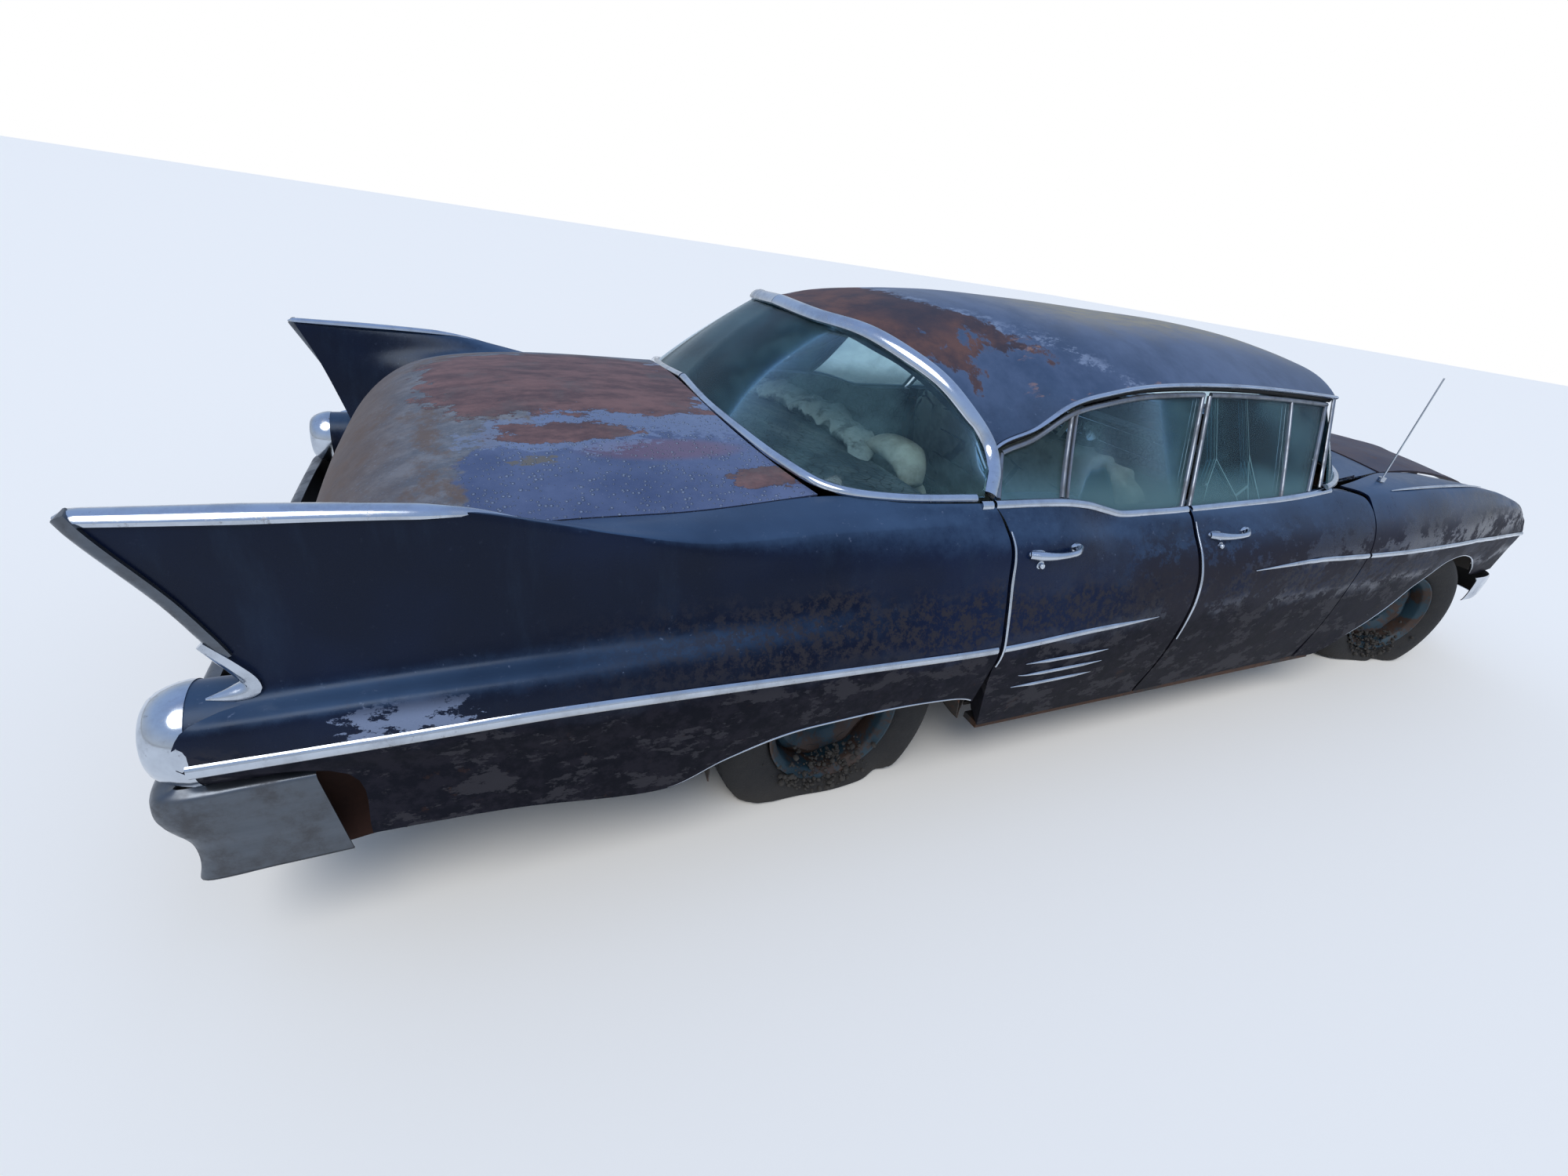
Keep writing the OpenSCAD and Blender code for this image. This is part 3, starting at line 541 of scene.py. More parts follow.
roof_paint, tree, shader = material("rusted_roof_paint", 0.5)
xyz, skyward, large, fine, streak, colour, chalk = paint_base()
ragged = cloud(5, 12, 0.68, (1, 0.55, 1))
blue = blend(ramp(ragged, 0.35, 0.65), (0.026, 0.05, 0.105), (0.062, 0.096, 0.175))
frayed_x = xyz["X"] + broken(ragged, 0.5)
top = ramp(skyward + broken(ragged, 0.3), 0.62, 0.86) * ramp(frayed_x, 1.05, 0.6, 0.25, 1)
colour = blend(top, colour, blue)
haze = ramp(abs(xyz["Y"] - 0.02) + broken(ragged, 0.3), 0.52, 0.22) * ramp(frayed_x, -0.62, -0.1)
haze = haze * ramp(cloud(20, 10, 0.78, (0.5, 1, 1)), 0.36, 0.58, 0.45, 1)
colour = blend(haze, colour, (0.3, 0.265, 0.185))
# The edge of the rust runs from far back on the crown to well forward near the right rail.
slant = maths("MINIMUM", xyz["Y"] + 0.17, 0.0) * 1.05
reach = xyz["X"] + slant + broken(ragged, 0.34)
reach = reach + broken(cloud(22, 10, 0.75), 0.22)
side_edge = skyward + broken(ragged, 0.8)
rust_zone = ramp(reach, -0.8, -0.95) * ramp(side_edge, 0.76, 1.0)
rust_zone = rust_zone + broken(cloud(14, 10, 0.78, (0.5, 1, 1)), 0.9)
rust_zone = ramp(rust_zone, 0.42, 0.6)
scab = blend(ramp(cloud(6, 10, 0.7), 0.35, 0.65), (0.042, 0.026, 0.032), (0.125, 0.058, 0.044))
scab = blend(ramp(cloud(2.3, 4, 0.5), 0.5, 0.62, 0, 0.6), scab, (0.022, 0.022, 0.036))
colour = blend(rust_zone, colour, scab)
fringe = ramp(reach, -0.9, -0.87) * ramp(reach, -0.78, -0.86)
chips = fringe * ramp(cloud(30, 9, 0.8, (0.5, 1, 1)), 0.5, 0.56)
colour = blend(chips * top * 0.6, colour, (0.24, 0.3, 0.42))
flecks = ramp(cloud(8, 8, 0.7, (0.35, 1, 1)), 0.6, 0.64) * ramp(xyz["Y"], -0.4, -0.5)
flecks = flecks * (ramp(xyz["X"], -0.75, -0.6) * ramp(xyz["X"], 0.35, 0.1))
colour = blend(flecks * 0.7, colour, (0.3, 0.17, 0.13))
plug(shader, "Base Color", colour)
plug(shader, "Roughness", ramp(rust_zone + haze * 0.6, 0, 1, 0.4, 0.72))
plug(shader, "Specular Tint", (0.75, 0.86, 1.0))
bump(shader, fine * 0.5 + rust_zone * -0.35, 0.4, 0.002)

headlining, tree, shader = material("sagging_headlining", 0.9)
plug(shader, "Base Color", blend(cloud(5, 7, 0.7), (0.06, 0.065, 0.07), (0.16, 0.16, 0.15)))
roof_grid = np.array([roof_row(v, 100) for v in np.linspace(-1, 1, 73)])
sheet("roof_skin", dented(roof_grid, 31, 2.0), inset(roof_grid, 20), [roof_paint, headlining],
      replaces=["roof"])

# ---------------------------------------------------------------- Trunk lid
# The lid rolls over the tail between the fins. Rust has eaten the crown, the tail is chalky
# and brown, and the sounder blue near the right edge is beaded with water, with painted glints.
LID_RIDGE = [(0, -1940, 1047), (0.25, -2200, 1052), (0.45, -2450, 1042), (0.6, -2620, 1016),
             (0.7, -2734, 972), (0.8, -2832, 886), (0.9, -2905, 768), (1, -2952, 592)]
LID_EDGE = [(0, -1775, 757, 932), (0.25, -2100, 777, 906), (0.45, -2400, 788, 899),
            (0.6, -2600, 796, 880), (0.7, -2726, 800, 845), (0.8, -2828, 803, 775),
            (0.9, -2893, 806, 690), (1, -2937, 808, 592)]
u = np.linspace(1, 0, 101)
v = np.linspace(-1, 1, 81)[:, None]
centre, edge = along(LID_RIDGE, u), along(LID_EDGE, u)
lid_grid = grid_of(centre[:, 1] + (edge[:, 1] - centre[:, 1]) * abs(v)**3.2, edge[:, 2] * v,
                   centre[:, 2] + (edge[:, 3] - centre[:, 2]) * abs(v)**2.2)

lid_paint, tree, shader = material("rusted_lid_paint", 0.5)
xyz = split(object_place())
fine = cloud(26, 9, 0.75)
jag = cloud(6, 12, 0.7, (0.7, 1, 1))
crumbs = cloud(19, 10, 0.75, (0.6, 1, 1))
rough_edge = broken(jag, 2.4) + broken(crumbs, 2.4)
torn_edge = broken(jag, 3.5) + broken(crumbs, 8.0)
sound = blend(ramp(cloud(3, 6, 0.6), 0.35, 0.65), (0.046, 0.068, 0.145), (0.1, 0.132, 0.235))
# Chalky grey-blue tail, browner towards the edge that rolls under.
boundary = xyz["X"] + (xyz["Y"] + 0.43) * -0.72
grainy = ramp(boundary + broken(jag, 0.42), -2.055, -2.085)
chalky = blend(ramp(cloud(16, 10, 0.8, (0.5, 1, 1)), 0.38, 0.62), (0.095, 0.11, 0.135),
               (0.185, 0.195, 0.215))
chalky = blend(ramp(cloud(5, 10, 0.76), 0.47, 0.6, 0, 0.85), chalky, (0.125, 0.088, 0.068))
colour = blend(grainy, sound, chalky)
stain = ramp(xyz["X"] + broken(jag, 0.3), -2.22, -2.48)
colour = blend(stain * 0.8, colour, blend(fine, (0.06, 0.044, 0.036), (0.15, 0.1, 0.075)))
# Rust patches, given by their middles and half-lengths in mm.
red = blend(ramp(cloud(14, 10, 0.75, (0.5, 1, 1)), 0.36, 0.64), (0.088, 0.052, 0.054), (0.19, 0.104, 0.096))
red = blend(ramp(cloud(5, 6, 0.65), 0.5, 0.68, 0, 0.6), red, (0.11, 0.1, 0.1))
crown = patch(xyz, (-2300, -60), (385, 335), rough_edge, 0.03, 3.5)
island = patch(xyz, (-2335, -482), (160, 44), torn_edge, 0.06)
tongue = patch(xyz, (-1990, -345), (80, 30), torn_edge, 0.06)
corner = patch(xyz, (-1880, -685), (90, 36), torn_edge, 0.08)
smear = patch(xyz, (-2120, -563), (190, 42), broken(jag, 1.0), 0.6, 2.0)
olive = patch(xyz, (-2435, -598), (64, 19), torn_edge, 0.06)
for mask, tint, strength in ((smear, (0.17, 0.085, 0.105), 0.55), (olive, (0.13, 0.115, 0.085), 0.9)):
    colour = blend(mask * strength, colour, tint)
rusted = most(crown, island, tongue, corner)
rim = patch(xyz, (-2250, -100), (470, 420), rough_edge, 0.04, 3.0)
pale_rim = most(rim * (1.0 - grainy), patch(xyz, (-2345, -490), (225, 76), torn_edge, 0.08))
colour = blend(pale_rim * 0.6, colour, (0.165, 0.215, 0.335))
colour = blend(rusted, colour, red)
matt = most(rusted, grainy * 0.85, stain)
plug(shader, "Roughness", ramp(matt, 0, 1, 0.36, 0.78))
plug(shader, "Specular Tint", (0.75, 0.86, 1.0))
drops = {"Vector": object_place(), "Scale": 88}
drop_size = node("SeparateColor", {"Color": node("TexVoronoi", drops, "Color")})
water_beads_and_glints = ramp(node("TexVoronoi", drops, "Distance") / (drop_size * 0.42 + 0.1), 1.0, 0.25)
water_beads_and_glints = water_beads_and_glints * (1.0 - matt)
# Painted highlight: the water beads are coloured pale where their glints would be; their relief comes from
# the bump.
plug(shader, "Base Color", blend(water_beads_and_glints * 0.6, colour, (0.3, 0.37, 0.5)))
bump(shader, fine * 0.35 + rusted * -0.3 + water_beads_and_glints * 2.0, 0.8, 0.004)

sheet("trunk_lid_skin", dented(lid_grid, 41, 1.5), inset(lid_grid, LID_STEEL), [lid_paint],
      body="trunk_lid", replaces=["trunk_lid"])

# ---------------------------------------------------------------- Hood, cowl and nose
# The hood is hinged at the cowl and stands a little ajar. The cowl closes the body
# between the windscreen and the hood, the nose panel between the hood and the grille.
HOOD_RIDGE = [(1000, 1014), (1400, 992), (1800, 946), (2158, 894), (2370, 832)]
HOOD_HINGE = np.array((1006, 0, 1016))
HOOD_AJAR = math.radians(1.6)
hood_back = 1058 - 46 * v**2
x = hood_back + (2358 - 24 * v**2 - hood_back) * np.linspace(0, 1, 91)
seam = along(HOOD_SEAM, x.ravel()).reshape(x.shape + (3,))
ridge_z = along(HOOD_RIDGE, x.ravel()).reshape(x.shape + (2,))[..., 1]
hood_grid = grid_of(x, (seam[..., 1] - 8) * v, ridge_z + (seam[..., 2] - ridge_z) * abs(v)**2.2)
crease = np.exp(-((abs(v) - 0.34) / 0.05)**2) * np.sin(np.linspace(0, math.pi, 91))**0.5
hood_grid[..., 2] += 7 * crease
hood_grid = (hood_grid - HOOD_HINGE) @ np.array(Matrix.Rotation(-HOOD_AJAR, 3, "Y")).T + HOOD_HINGE
hood_paint, tree, shader = material("dull_hood_paint", 0.6)
xyz, skyward, large, fine, streak, colour, chalk = paint_base()
worn = ramp(cloud(4, 10, 0.74, (0.6, 1, 1)), 0.38, 0.6)
colour = blend(worn * 0.85, blend(0.75, colour, (0.052, 0.04, 0.052)), (0.078, 0.056, 0.062))
eaten = ramp(cloud(9, 10, 0.78), 0.55, 0.62)
colour = blend(eaten * 0.7, colour, (0.095, 0.052, 0.04))
plug(shader, "Base Color", colour)
plug(shader, "Specular IOR Level", 0.3)
bump(shader, fine + eaten * -0.6, 0.4, 0.002)
sheet("hood_skin", dented(hood_grid, 51, 3.5), inset(hood_grid, LID_STEEL), [hood_paint], body="hood",
      replaces=["hood"])


def screen_base(v):
    """The foot of the windscreen at shares v of its half-width."""
    return grid_of(330 + 610 * np.clip(1 - abs(v)**3, 0, 1)**0.75, 838 * v, 954 + 34 * (1 - v**2))


def screen_top(v):
    """The head of the windscreen at shares v of its half-width."""
    return grid_of(512 + 180 * (1 - abs(v)**2.6), 622 * v, 1228 + 86 * (1 - abs(v)**2.4))


share = np.linspace(0, 1, 16)[None, :, None]
side_share = np.sin(np.linspace(-1, 1, 81) * math.pi / 2)
near_screen = screen_base(side_share) + grid_of(16, -26 * side_share**25, -6)
near_hood = grid_of(1050 - 46 * side_share**2, 702 * side_share, 1010 - 50 * abs(side_share)**2.2)
cowl_grid = near_screen[:, None] * (1 - share) + near_hood[:, None] * share
sheet("cowl_skin", cowl_grid, inset(cowl_grid, 9), [paint], replaces=["cowl_panel"])

nose_v = np.linspace(-1, 1, 41)[:, None]
drop = np.linspace(1, 0, 12)[None, :]
nose_grid = grid_of(2318 + 34 * np.sin(drop * 2.6) - 20 * nose_v**2, (600 - 6 * drop) * nose_v,
                    738 + (812 - 62 * abs(nose_v)**2.2 - 738) * drop)
sheet("nose_panel", nose_grid, inset(nose_grid, 5), [paint])

# ---------------------------------------------------------------- Glass
# Curved safety glass, green with age, dusty, with a milky band low down in the doors
# and cracks running across the right front pane.
glass, tree, shader = material("dusty_green_glass", 0.55)
xyz = split(object_place())
clear = node("BsdfTransparent", {"Color": (0.8, 0.89, 0.91)})
gloss = node("BsdfGlossy", {"Color": (0.8, 0.92, 1.0), "Roughness": 0.05})
facing = node("LayerWeight", {"Blend": 0.18}, "Fresnel")
pane = node("MixShader", {0: facing, 1: clear, 2: gloss})
grime = cloud(4, 8, 0.65)
plug(shader, "Base Color", (0.1, 0.21, 0.23))
smudge = ramp(grime, 0.42, 0.75, 0.03, 0.22)
door_haze = ramp(xyz["Z"] + broken(grime, 0.16), 1.02, 0.9, 0, 0.45)
smudge = smudge + door_haze * ramp(xyz["X"], -0.95, -0.85)
cracks = cracking(5.5, (1, 0.4, 0.35))
cracked = ramp(cracks, 0.01, 0.004) * ramp(xyz["Y"], -0.6, -0.64)
cracked = cracked * (ramp(xyz["X"], 0.02, 0.06) * ramp(xyz["X"], 0.5, 0.46))
dust = maths("MINIMUM", smudge + cracked * 0.7, 0.9)
dusty = node("MixShader", {0: dust, 1: pane, 2: Value(shader.outputs[0])})
plug(tree.nodes["Material Output"], "Surface", dusty)


def glass_point(x, h):
    """A point of the door glass on the right side: h is 0 at the belt and 1 under the roof rail."""
    low, high = along(BELT, np.clip(x, -1290, 395)), along(RAIL, np.clip(x, -1190, 560))
    w = (low[:, 1] - 16) * (1 - h) + (high[:, 1] + 6) * h
    return grid_of(x, -w, (low[:, 2] + 7) * (1 - h) + (high[:, 2] - 38) * h)


# Rear and front edges of each pane, at the belt and then at the rail.
PANES = {"front_door": (-412, 262, -300, 452), "rear_door": (-1262, -450, -1168, -336)}
for door, (rear, front, rear_top, front_top) in PANES.items():
    lines = []
    for h in np.linspace(-0.03, 0.985, 14):
        x = np.linspace(rear + (rear_top - rear) * h, front + (front_top - front) * h, 41)
        lines.append(glass_point(x, h))
    grid = np.array(lines)
    for name, side in SIDES.items():
        sheet(f"{door}_window_{name}", grid, inset(grid, GLASS), [glass], body=f"{door}_{name}", side=side,
              slot="window_glass", replaces=[f"{door}_glass_{name}"])

v = 0.985 * np.sin(np.linspace(-1, 1, 81) * math.pi / 2)
top, base = screen_top(v)[:, None], screen_base(v)[:, None]
u = np.linspace(0, 1, 20)[None, :, None]
grid = base * (1 - u) + top * u
grid[..., 0] += (66 * u * (1 - u))[..., 0]
sheet("windscreen_glass", grid[:, ::-1], inset(grid[:, ::-1], GLASS), [glass], slot="window_glass",
      replaces=["windscreen"])

v = np.linspace(-1, 1, 81)
u = np.linspace(0.02, 0.97, 22)[None, :, None]
low_line, top_line = along(REAR_GLASS_LOW, abs(v)), along(REAR_GLASS_TOP, abs(v))
flip = np.sign(v)[:, None] * [0, 1, 0] + [1, 0, 1]
grid = (low_line[:, None, 1:] * (1 - u) + top_line[:, None, 1:] * u) * flip[:, None]
grid += u * (1 - u) * grid_of(-90, 90 * v, 0)[:, None]
sheet("rear_window_glass", grid, inset(grid, GLASS), [glass], slot="window_glass", replaces=["rear_window"])

# ---------------------------------------------------------------- Bright mouldings
# Stainless strips, each a swept bead that follows a line of the body. The spears, the
# belt mouldings and the window frames are cut where the doors part.
chrome, tree, shader = material("weathered_chrome", 0.16, 1.0)
pits = ramp(cloud(45, 9, 0.8), 0.58, 0.68)
tarnish = ramp(cloud(9, 7, 0.7), 0.4, 0.72)
bright = blend(tarnish * 0.55, (0.56, 0.61, 0.68), (0.27, 0.29, 0.33))
plug(shader, "Base Color", blend(pits * 0.6, bright, (0.13, 0.11, 0.1)))
plug(shader, "Roughness", ramp(tarnish + pits, 0, 2, 0.12, 0.62))
bump(shader, pits, -0.3, 0.001)

BEAD = np.array([(-0.5, -0.3), (-0.5, 0.25), (-0.40, 0.62), (-0.2, 0.92), (0, 1), (0.2, 0.92), (0.40, 0.62),
                 (0.5, 0.25), (0.5, -0.3)])


def bead(path, out, wide, proud, ends=(1, 1), step=14, profile=BEAD):
    """A bar swept along a path: its width lies across the path, and out is the way it stands proud.
    The sizes at the ends, or all along, are shares of the full ones."""
    path = np.array(path, float)
    far = distances(path)
    at = np.linspace(0, far[-1], max(3, int(far[-1] / step)))
    line = smooth(far, path, at)
    t = np.gradient(line, axis=0)
    t /= np.linalg.norm(t, axis=1, keepdims=True)
    n = np.broadcast_to(np.array(out, float), path.shape)
    n = smooth(far, n, at)
    n -= (n * t).sum(1, keepdims=True) * t
    n /= np.linalg.norm(n, axis=1, keepdims=True)
    s = np.cross(t, n)
    fade = np.interp(at, np.linspace(0, far[-1], len(ends)), ends)[:, None, None]
    rings = line[:, None] + fade * (s[:, None] * profile[None, :, :1] * wide + n[:, None]
                                    * profile[None, :, 1:] * proud)
    return tube(rings)


def tube(rings):
    """The closed skin over rings of points, capped at both ends."""
    count, around = rings.shape[:2]
    a = (np.arange(count - 1)[:, None] * around + np.arange(around)).ravel()
    b = (np.arange(count - 1)[:, None] * around + (np.arange(around) + 1) % around).ravel()
    faces = np.stack((a, b, b + around, a + around), 1).tolist()
    faces += [list(range(around))[::-1], [(count - 1) * around + k for k in range(around)]]
    return rings.reshape(-1, 3), faces


def turned(outline, middle, axis, count=48, oval=(1, 1), roll=(0, 0, 1)):
    """An outline of (radius, height) points turned about an axis. Radii can be stretched to an oval."""
    axis = np.array(axis, float) / np.linalg.norm(axis)
    a = np.cross(roll, axis)
    a /= np.linalg.norm(a)
    b = np.cross(axis, a)
    angle = around(count)
    spoke = np.cos(angle)[:, None] * a * oval[0] + np.sin(angle)[:, None] * b * oval[1]
    rings = np.array([np.array(middle, float) + max(r, 0.05) * spoke + h * axis for r, h in outline])
    return tube(rings)


def solid(name, parts, materials, body="car_body", side=-1, slot="bright_trim", replaces=(), sharp=35):
    """One piece made of several closed skins; each part may name the number of its material."""
    points, faces, index = [], [], []
    for part in parts:
        base = len(points)
        points += (np.asarray(part[0]) * (1, -side, 1)).tolist()
        faces += [[base + k for k in face] for face in part[1]]
        index += [part[2] if len(part) > 2 else 0] * len(part[1])
    mesh = bpy.data.meshes.new(name)
    mesh.from_pydata(metres(points).tolist(), [], faces)
    mesh.polygons.foreach_set("material_index", index)
    work = bmesh.new()
    work.from_mesh(mesh)
    bmesh.ops.recalc_face_normals(work, faces=work.faces)
    work.to_mesh(mesh)
    work.free()
    mesh.shade_smooth()
    mesh.set_sharp_from_angle(angle=math.radians(sharp))
    return piece(name, mesh, materials, body, replaces)


def on_skin(grid, x, z, lift=0.0, rows=slice(0, 40)):
    """Points of a panel's outer skin at the given places along the car and heights."""
    points = grid[rows].reshape(-1, 3)
    found = []
    for a, b in zip(x, z):
        near = points[((points[:, 0] - a)**2 + (points[:, 2] - b)**2).argmin()]
        found.append((a, near[1] - lift, b))
    return np.array(found)


def line_at(line, x, out=0.0, up=0.0):
    """Points of a body line on the right side, moved outwards and upwards."""
    return along(line, x) * (1, -1, 1) + (0, -out, up)


def strip(line, back, front, count, shift, facing, wide, proud, ends=(1, 1)):
    """A moulding that follows a body line from one place to another."""
    return bead(line_at(line, np.linspace(back, front, count), *shift), facing, wide, proud, ends)


OUT, UP, BELTWARD = (0, -1, 0.1), (0, -0.25, 1), (0, -0.8, 0.6)
quarter_trim = [strip(SPEAR, -3036, -1262, 60, (-1, 3), OUT, 27, 8, (1, 1, 0.95, 0.85, 0.8)),
                strip(QUARTER_BOTTOM, -2180, -1262, 50, (-2, 3), OUT, 8, 5, (0.5, 1, 1, 0.8)),
                bead(line_at(BELT, np.array((-1330, -1310, -1292)), 2, -4), BELTWARD, 24, 9)]
cap_size = np.concatenate(([0.15, 0.8], np.linspace(0.9, 1.05, 20), np.linspace(1.05, 0.9, 24),
                           np.linspace(0.9, 0.1, 16)))
quarter_trim += [strip(CREST, -3112, -2490, 34, (-13, 0), UP, 42, 14, cap_size)]
satin, tree, shader = material("dull_satin_metal", 0.42, 0.85)
dirt = ramp(cloud(12, 9, 0.72), 0.38, 0.72)
scratch = cloud(30, 6, 0.7, (0.15, 1, 1))
steel = blend(scratch, (0.17, 0.19, 0.22), (0.3, 0.33, 0.37))
tail_end = ramp(split(object_place())["X"], -2.3, -2.5)
steel = blend(tail_end, steel, blend(scratch, (0.075, 0.088, 0.105), (0.15, 0.17, 0.2)))
plug(shader, "Base Color", blend(dirt * 0.6, steel, (0.075, 0.068, 0.065)))
plug(shader, "Roughness", ramp(dirt, 0, 1, 0.3, 0.6))
fin_edge = quarter_grid[:np.argmax(quarter_grid[:, 0, 2]) + 1, 0]
blade_path = fin_edge[fin_edge[:, 2] > 700][::-1] + (5, 10, 0)
hook_path = [(-2990, -900, 746), (-2952, -903, 706), (-2930, -908, 674), (-2934, -914, 654),
             (-2960, -920, 646), (-3002, -926, 645)]
hook_outs = [(-0.9, 0, -0.4), (-0.9, 0, -0.5), (-1, 0, -0.1), (-0.5, 0, 0.9), (0, 0, 1), (0, 0, 1)]
quarter_trim += [bead(blade_path, (-0.9, 0, -0.45), 36, 20, [0.3] + [1] * 20) + (1,),
                 bead(hook_path, hook_outs, 44, 22, (0.7, 1.0, 1.15, 1.1, 0.7, 0.1), 6)]
spear_x = np.linspace(600, 2366, 50)
spear_z = np.interp(spear_x, (564, 858, 1648, 2381), (722, 717, 714, 684))
fender_trim = [bead(on_skin(fender_grid, spear_x, spear_z, 1), OUT, 20, 7, (1, 1, 1, 0.9)),
               strip(CREST, 770, 1640, 30, (-4, 6), UP, 12, 5, (0.3, 1, 1, 1, 0.3)),
               strip(FENDER_BOTTOM, 780, 2040, 60, (-2, 3), OUT, 8, 4, (0.3, 1, 1, 1, 0.6))]
pair(solid, "quarter_mouldings", quarter_trim, [chrome, satin], once=["fin_blades"])
pair(solid, "fender_mouldings", fender_trim, [chrome, satin])

rear_frame = [(-1612, 0, 1308), (-1590, -240, 1298), (-1510, -390, 1287), (-1440, -500, 1254),
              (-1357, -600, 1199), (-1284, -680, 1118), (-1236, -722, 1052), (-1246, -782, 996),
              (-1290, -838, 950)]
rear_outs = [(-0.6, 0, 0.8), (-0.6, -0.1, 0.8), (-0.6, -0.2, 0.75), (-0.6, -0.35, 0.7), (-0.55, -0.5, 0.65),
             (-0.5, -0.65, 0.5), (-0.4, -0.85, 0.35), (-0.35, -0.9, 0.3), (-0.35, -0.9, 0.3)]
share = np.linspace(0, 0.985, 40)
low_frame = along(REAR_GLASS_LOW, share)[:, 1:] * (1, -1, 1) + (-8, -5, 3)
screen_v = np.sin(np.linspace(0, 1, 40) * math.pi / 2)
top_frame = screen_top(screen_v) * (1, -1, 1) + (6, -3, 4)
base_frame = screen_base(screen_v) * (1, -1, 1) + grid_of(9 * (1 - screen_v), -3 - 6 * screen_v, 2)
pillar = [(332, -829, 944), (405, -742, 1098), (492, -648, 1246)]
body_trim = [strip(RAIL, -1205, 500, 60, (3, -6), (0, -1, 0.15), 15, 15, (0.6, 1, 1, 1, 1)),
             bead(rear_frame, rear_outs, 46, 12),
             bead(low_frame, (-0.6, -0.2, 0.75), 26, 10),
             bead(top_frame, (0.6, -0.1, 0.6), 22, 9),
             bead(base_frame, (0.6, -0.25, 0.7), 24, 10),
             bead(pillar, (0.55, -0.8, 0.2), 22, 9) + (1,)]
pair(solid, "window_frames", body_trim, [chrome, satin])


def post(foot, head, wide=15, proud=9):
    """A post on the outside of the door glass, from its foot at the belt to its head."""
    h = np.linspace(-0.02, 0.99, 9)
    path = np.concatenate([glass_point(np.array([foot + (head - foot) * k]), k) for k in h])
    return bead(path + (0, -1, 0), OUT, wide, proud, step=20) + (1,)


def header(rear, front):
    """The top bar of a door's window frame."""
    x = np.linspace(rear, front, 24)
    return bead(glass_point(x, 1.0) + (0, -2, 2), OUT, 17, 10) + (1,)


def handle(x, z, grid):
    """A pull handle with its thumb button and lock, reaching from x forwards."""
    at = on_skin(grid, np.linspace(x, x + 190, 7), np.linspace(z - 4, z + 6, 7), rows=slice(12, 42))
    arch = at + grid_of(0, -np.array((2, 16, 26, 30, 30, 24, 2)), 0)
    plates = [(at[0] + (28, 0, 0), (2.0, 0.9)), (at[-1] + (-12, 0, 0), (1.3, 0.9))]
    made = [bead(arch, OUT, 24, 12, (0.9, 1.1, 0.9, 0.75, 0.7, 0.8, 0.9), 7)]
    for spot, oval in plates:
        made += [turned([(0, 6), (11, 6), (15, 3), (16, -3), (0, -3)], spot, OUT, 24, oval)]
    lock = on_skin(grid, [x + 42], [z - 34], rows=slice(12, 42))[0]
    made += [turned([(0, 11), (7, 11), (9, 8), (9, 2), (13, 1), (13, -2), (0, -2)], lock, OUT, 24)]
    return made


front_grid, rear_grid = door_grids["front_door"], door_grids["rear_door"]
front_x = np.linspace(-139, 584, 30)
front_spear = on_skin(front_grid, front_x, np.interp(front_x, (-139, 249, 564), (712, 728, 722)), 1)
door_trim = {
    "front_door": [bead(front_spear, OUT, 20, 7, (0.15, 0.8, 1, 1)),
                   strip(BELT, -420, 384, 40, (2, -3), BELTWARD, 24, 9),
                   header(-300, 452), post(-412, -300), post(262, 452), post(90, 200, 12)]
    + handle(-368, 828, front_grid),
    "rear_door": [strip(SPEAR, -1238, -582, 40, (-1, 3), OUT, 20, 7, (1, 1, 0.9, 0.1)),
                  strip(BELT, -1282, -437, 50, (2, -3), BELTWARD, 24, 9),
                  header(-1168, -336), post(-450, -336), post(-1262, -1168),
                  post(-1020, -925, 12), post(-1000, -908, 7)]
    + handle(-1186, 820, rear_grid)}
for z, rear, front in ((486, -1124, -769), (438, -1126, -768), (390, -1132, -774)):
    x = np.linspace(rear, front, 16)
    door_trim["rear_door"].append(bead(on_skin(rear_grid, x, z + 0 * x, 0), OUT, 13, 7,
                                       (0.15, 1, 1, 0.9, 0.15)))
for door, grid in door_grids.items():
    edge = grid[8:-7, 0] + (4, -2.5, 0)
    door_trim[door].append(bead(edge[::2], OUT, 9, 4, (0.6, 1, 1, 0.6)))
    for name, side in SIDES.items():
        solid(f"{door}_brightwork_{name}", door_trim[door], [chrome, satin], f"{door}_{name}", side=side)

# Dark rubber and shadow-catching channels between the door glass and the roof.
rubber, tree, shader = material("perished_rubber", 0.75)
plug(shader, "Base Color", blend(cloud(30, 8, 0.7), (0.008, 0.008, 0.009), (0.035, 0.034, 0.033)))
pair(solid, "roof_rail_seal", [strip(RAIL, -1205, 500, 60, (-7, -14), (0, -1, 0), 26, 5)], [rubber])

# ---------------------------------------------------------------- Tail pods, lamps and rear bumper
# Each pod ends in a heavy chromed lip round a red lamp. The bumper wraps round from side
# to side, swelling at each corner, and its satin side plates reach forward to a rusty gap.
POD = np.array((0, -893, 552))
POD_OVAL = (91, 99)
pod_outline = [(0.0, -2690), (0.97, -2690), (1.0, -2850), (1.0, -3000), (0.985, -3046), (0.93, -3050),
               (0.0, -3050)]
lip_outline = [(0.96, -3030), (1.01, -3031), (1.015, -3042), (0.985, -3058), (0.93, -3073), (0.86, -3086),
               (0.77, -3096), (0.69, -3101), (0.63, -3099), (0.60, -3088), (0.595, -3066), (0.595, -3052),
               (0.9, -3044)]
lens_outline = [(0.60, -3052), (0.60, -3074), (0.54, -3088), (0.38, -3097), (0.18, -3101), (0.0, -3102)]
ring_outline = [(0.38, -3094), (0.42, -3101), (0.38, -3104), (0.34, -3100)]


def pod_part(outline):
    """An outline of (share of the radius, x) points turned into the oval of the tail pod."""
    return turned([(r, -x) for r, x in outline], POD, (-1, 0, 0), 64, POD_OVAL, (0, 0, 1))


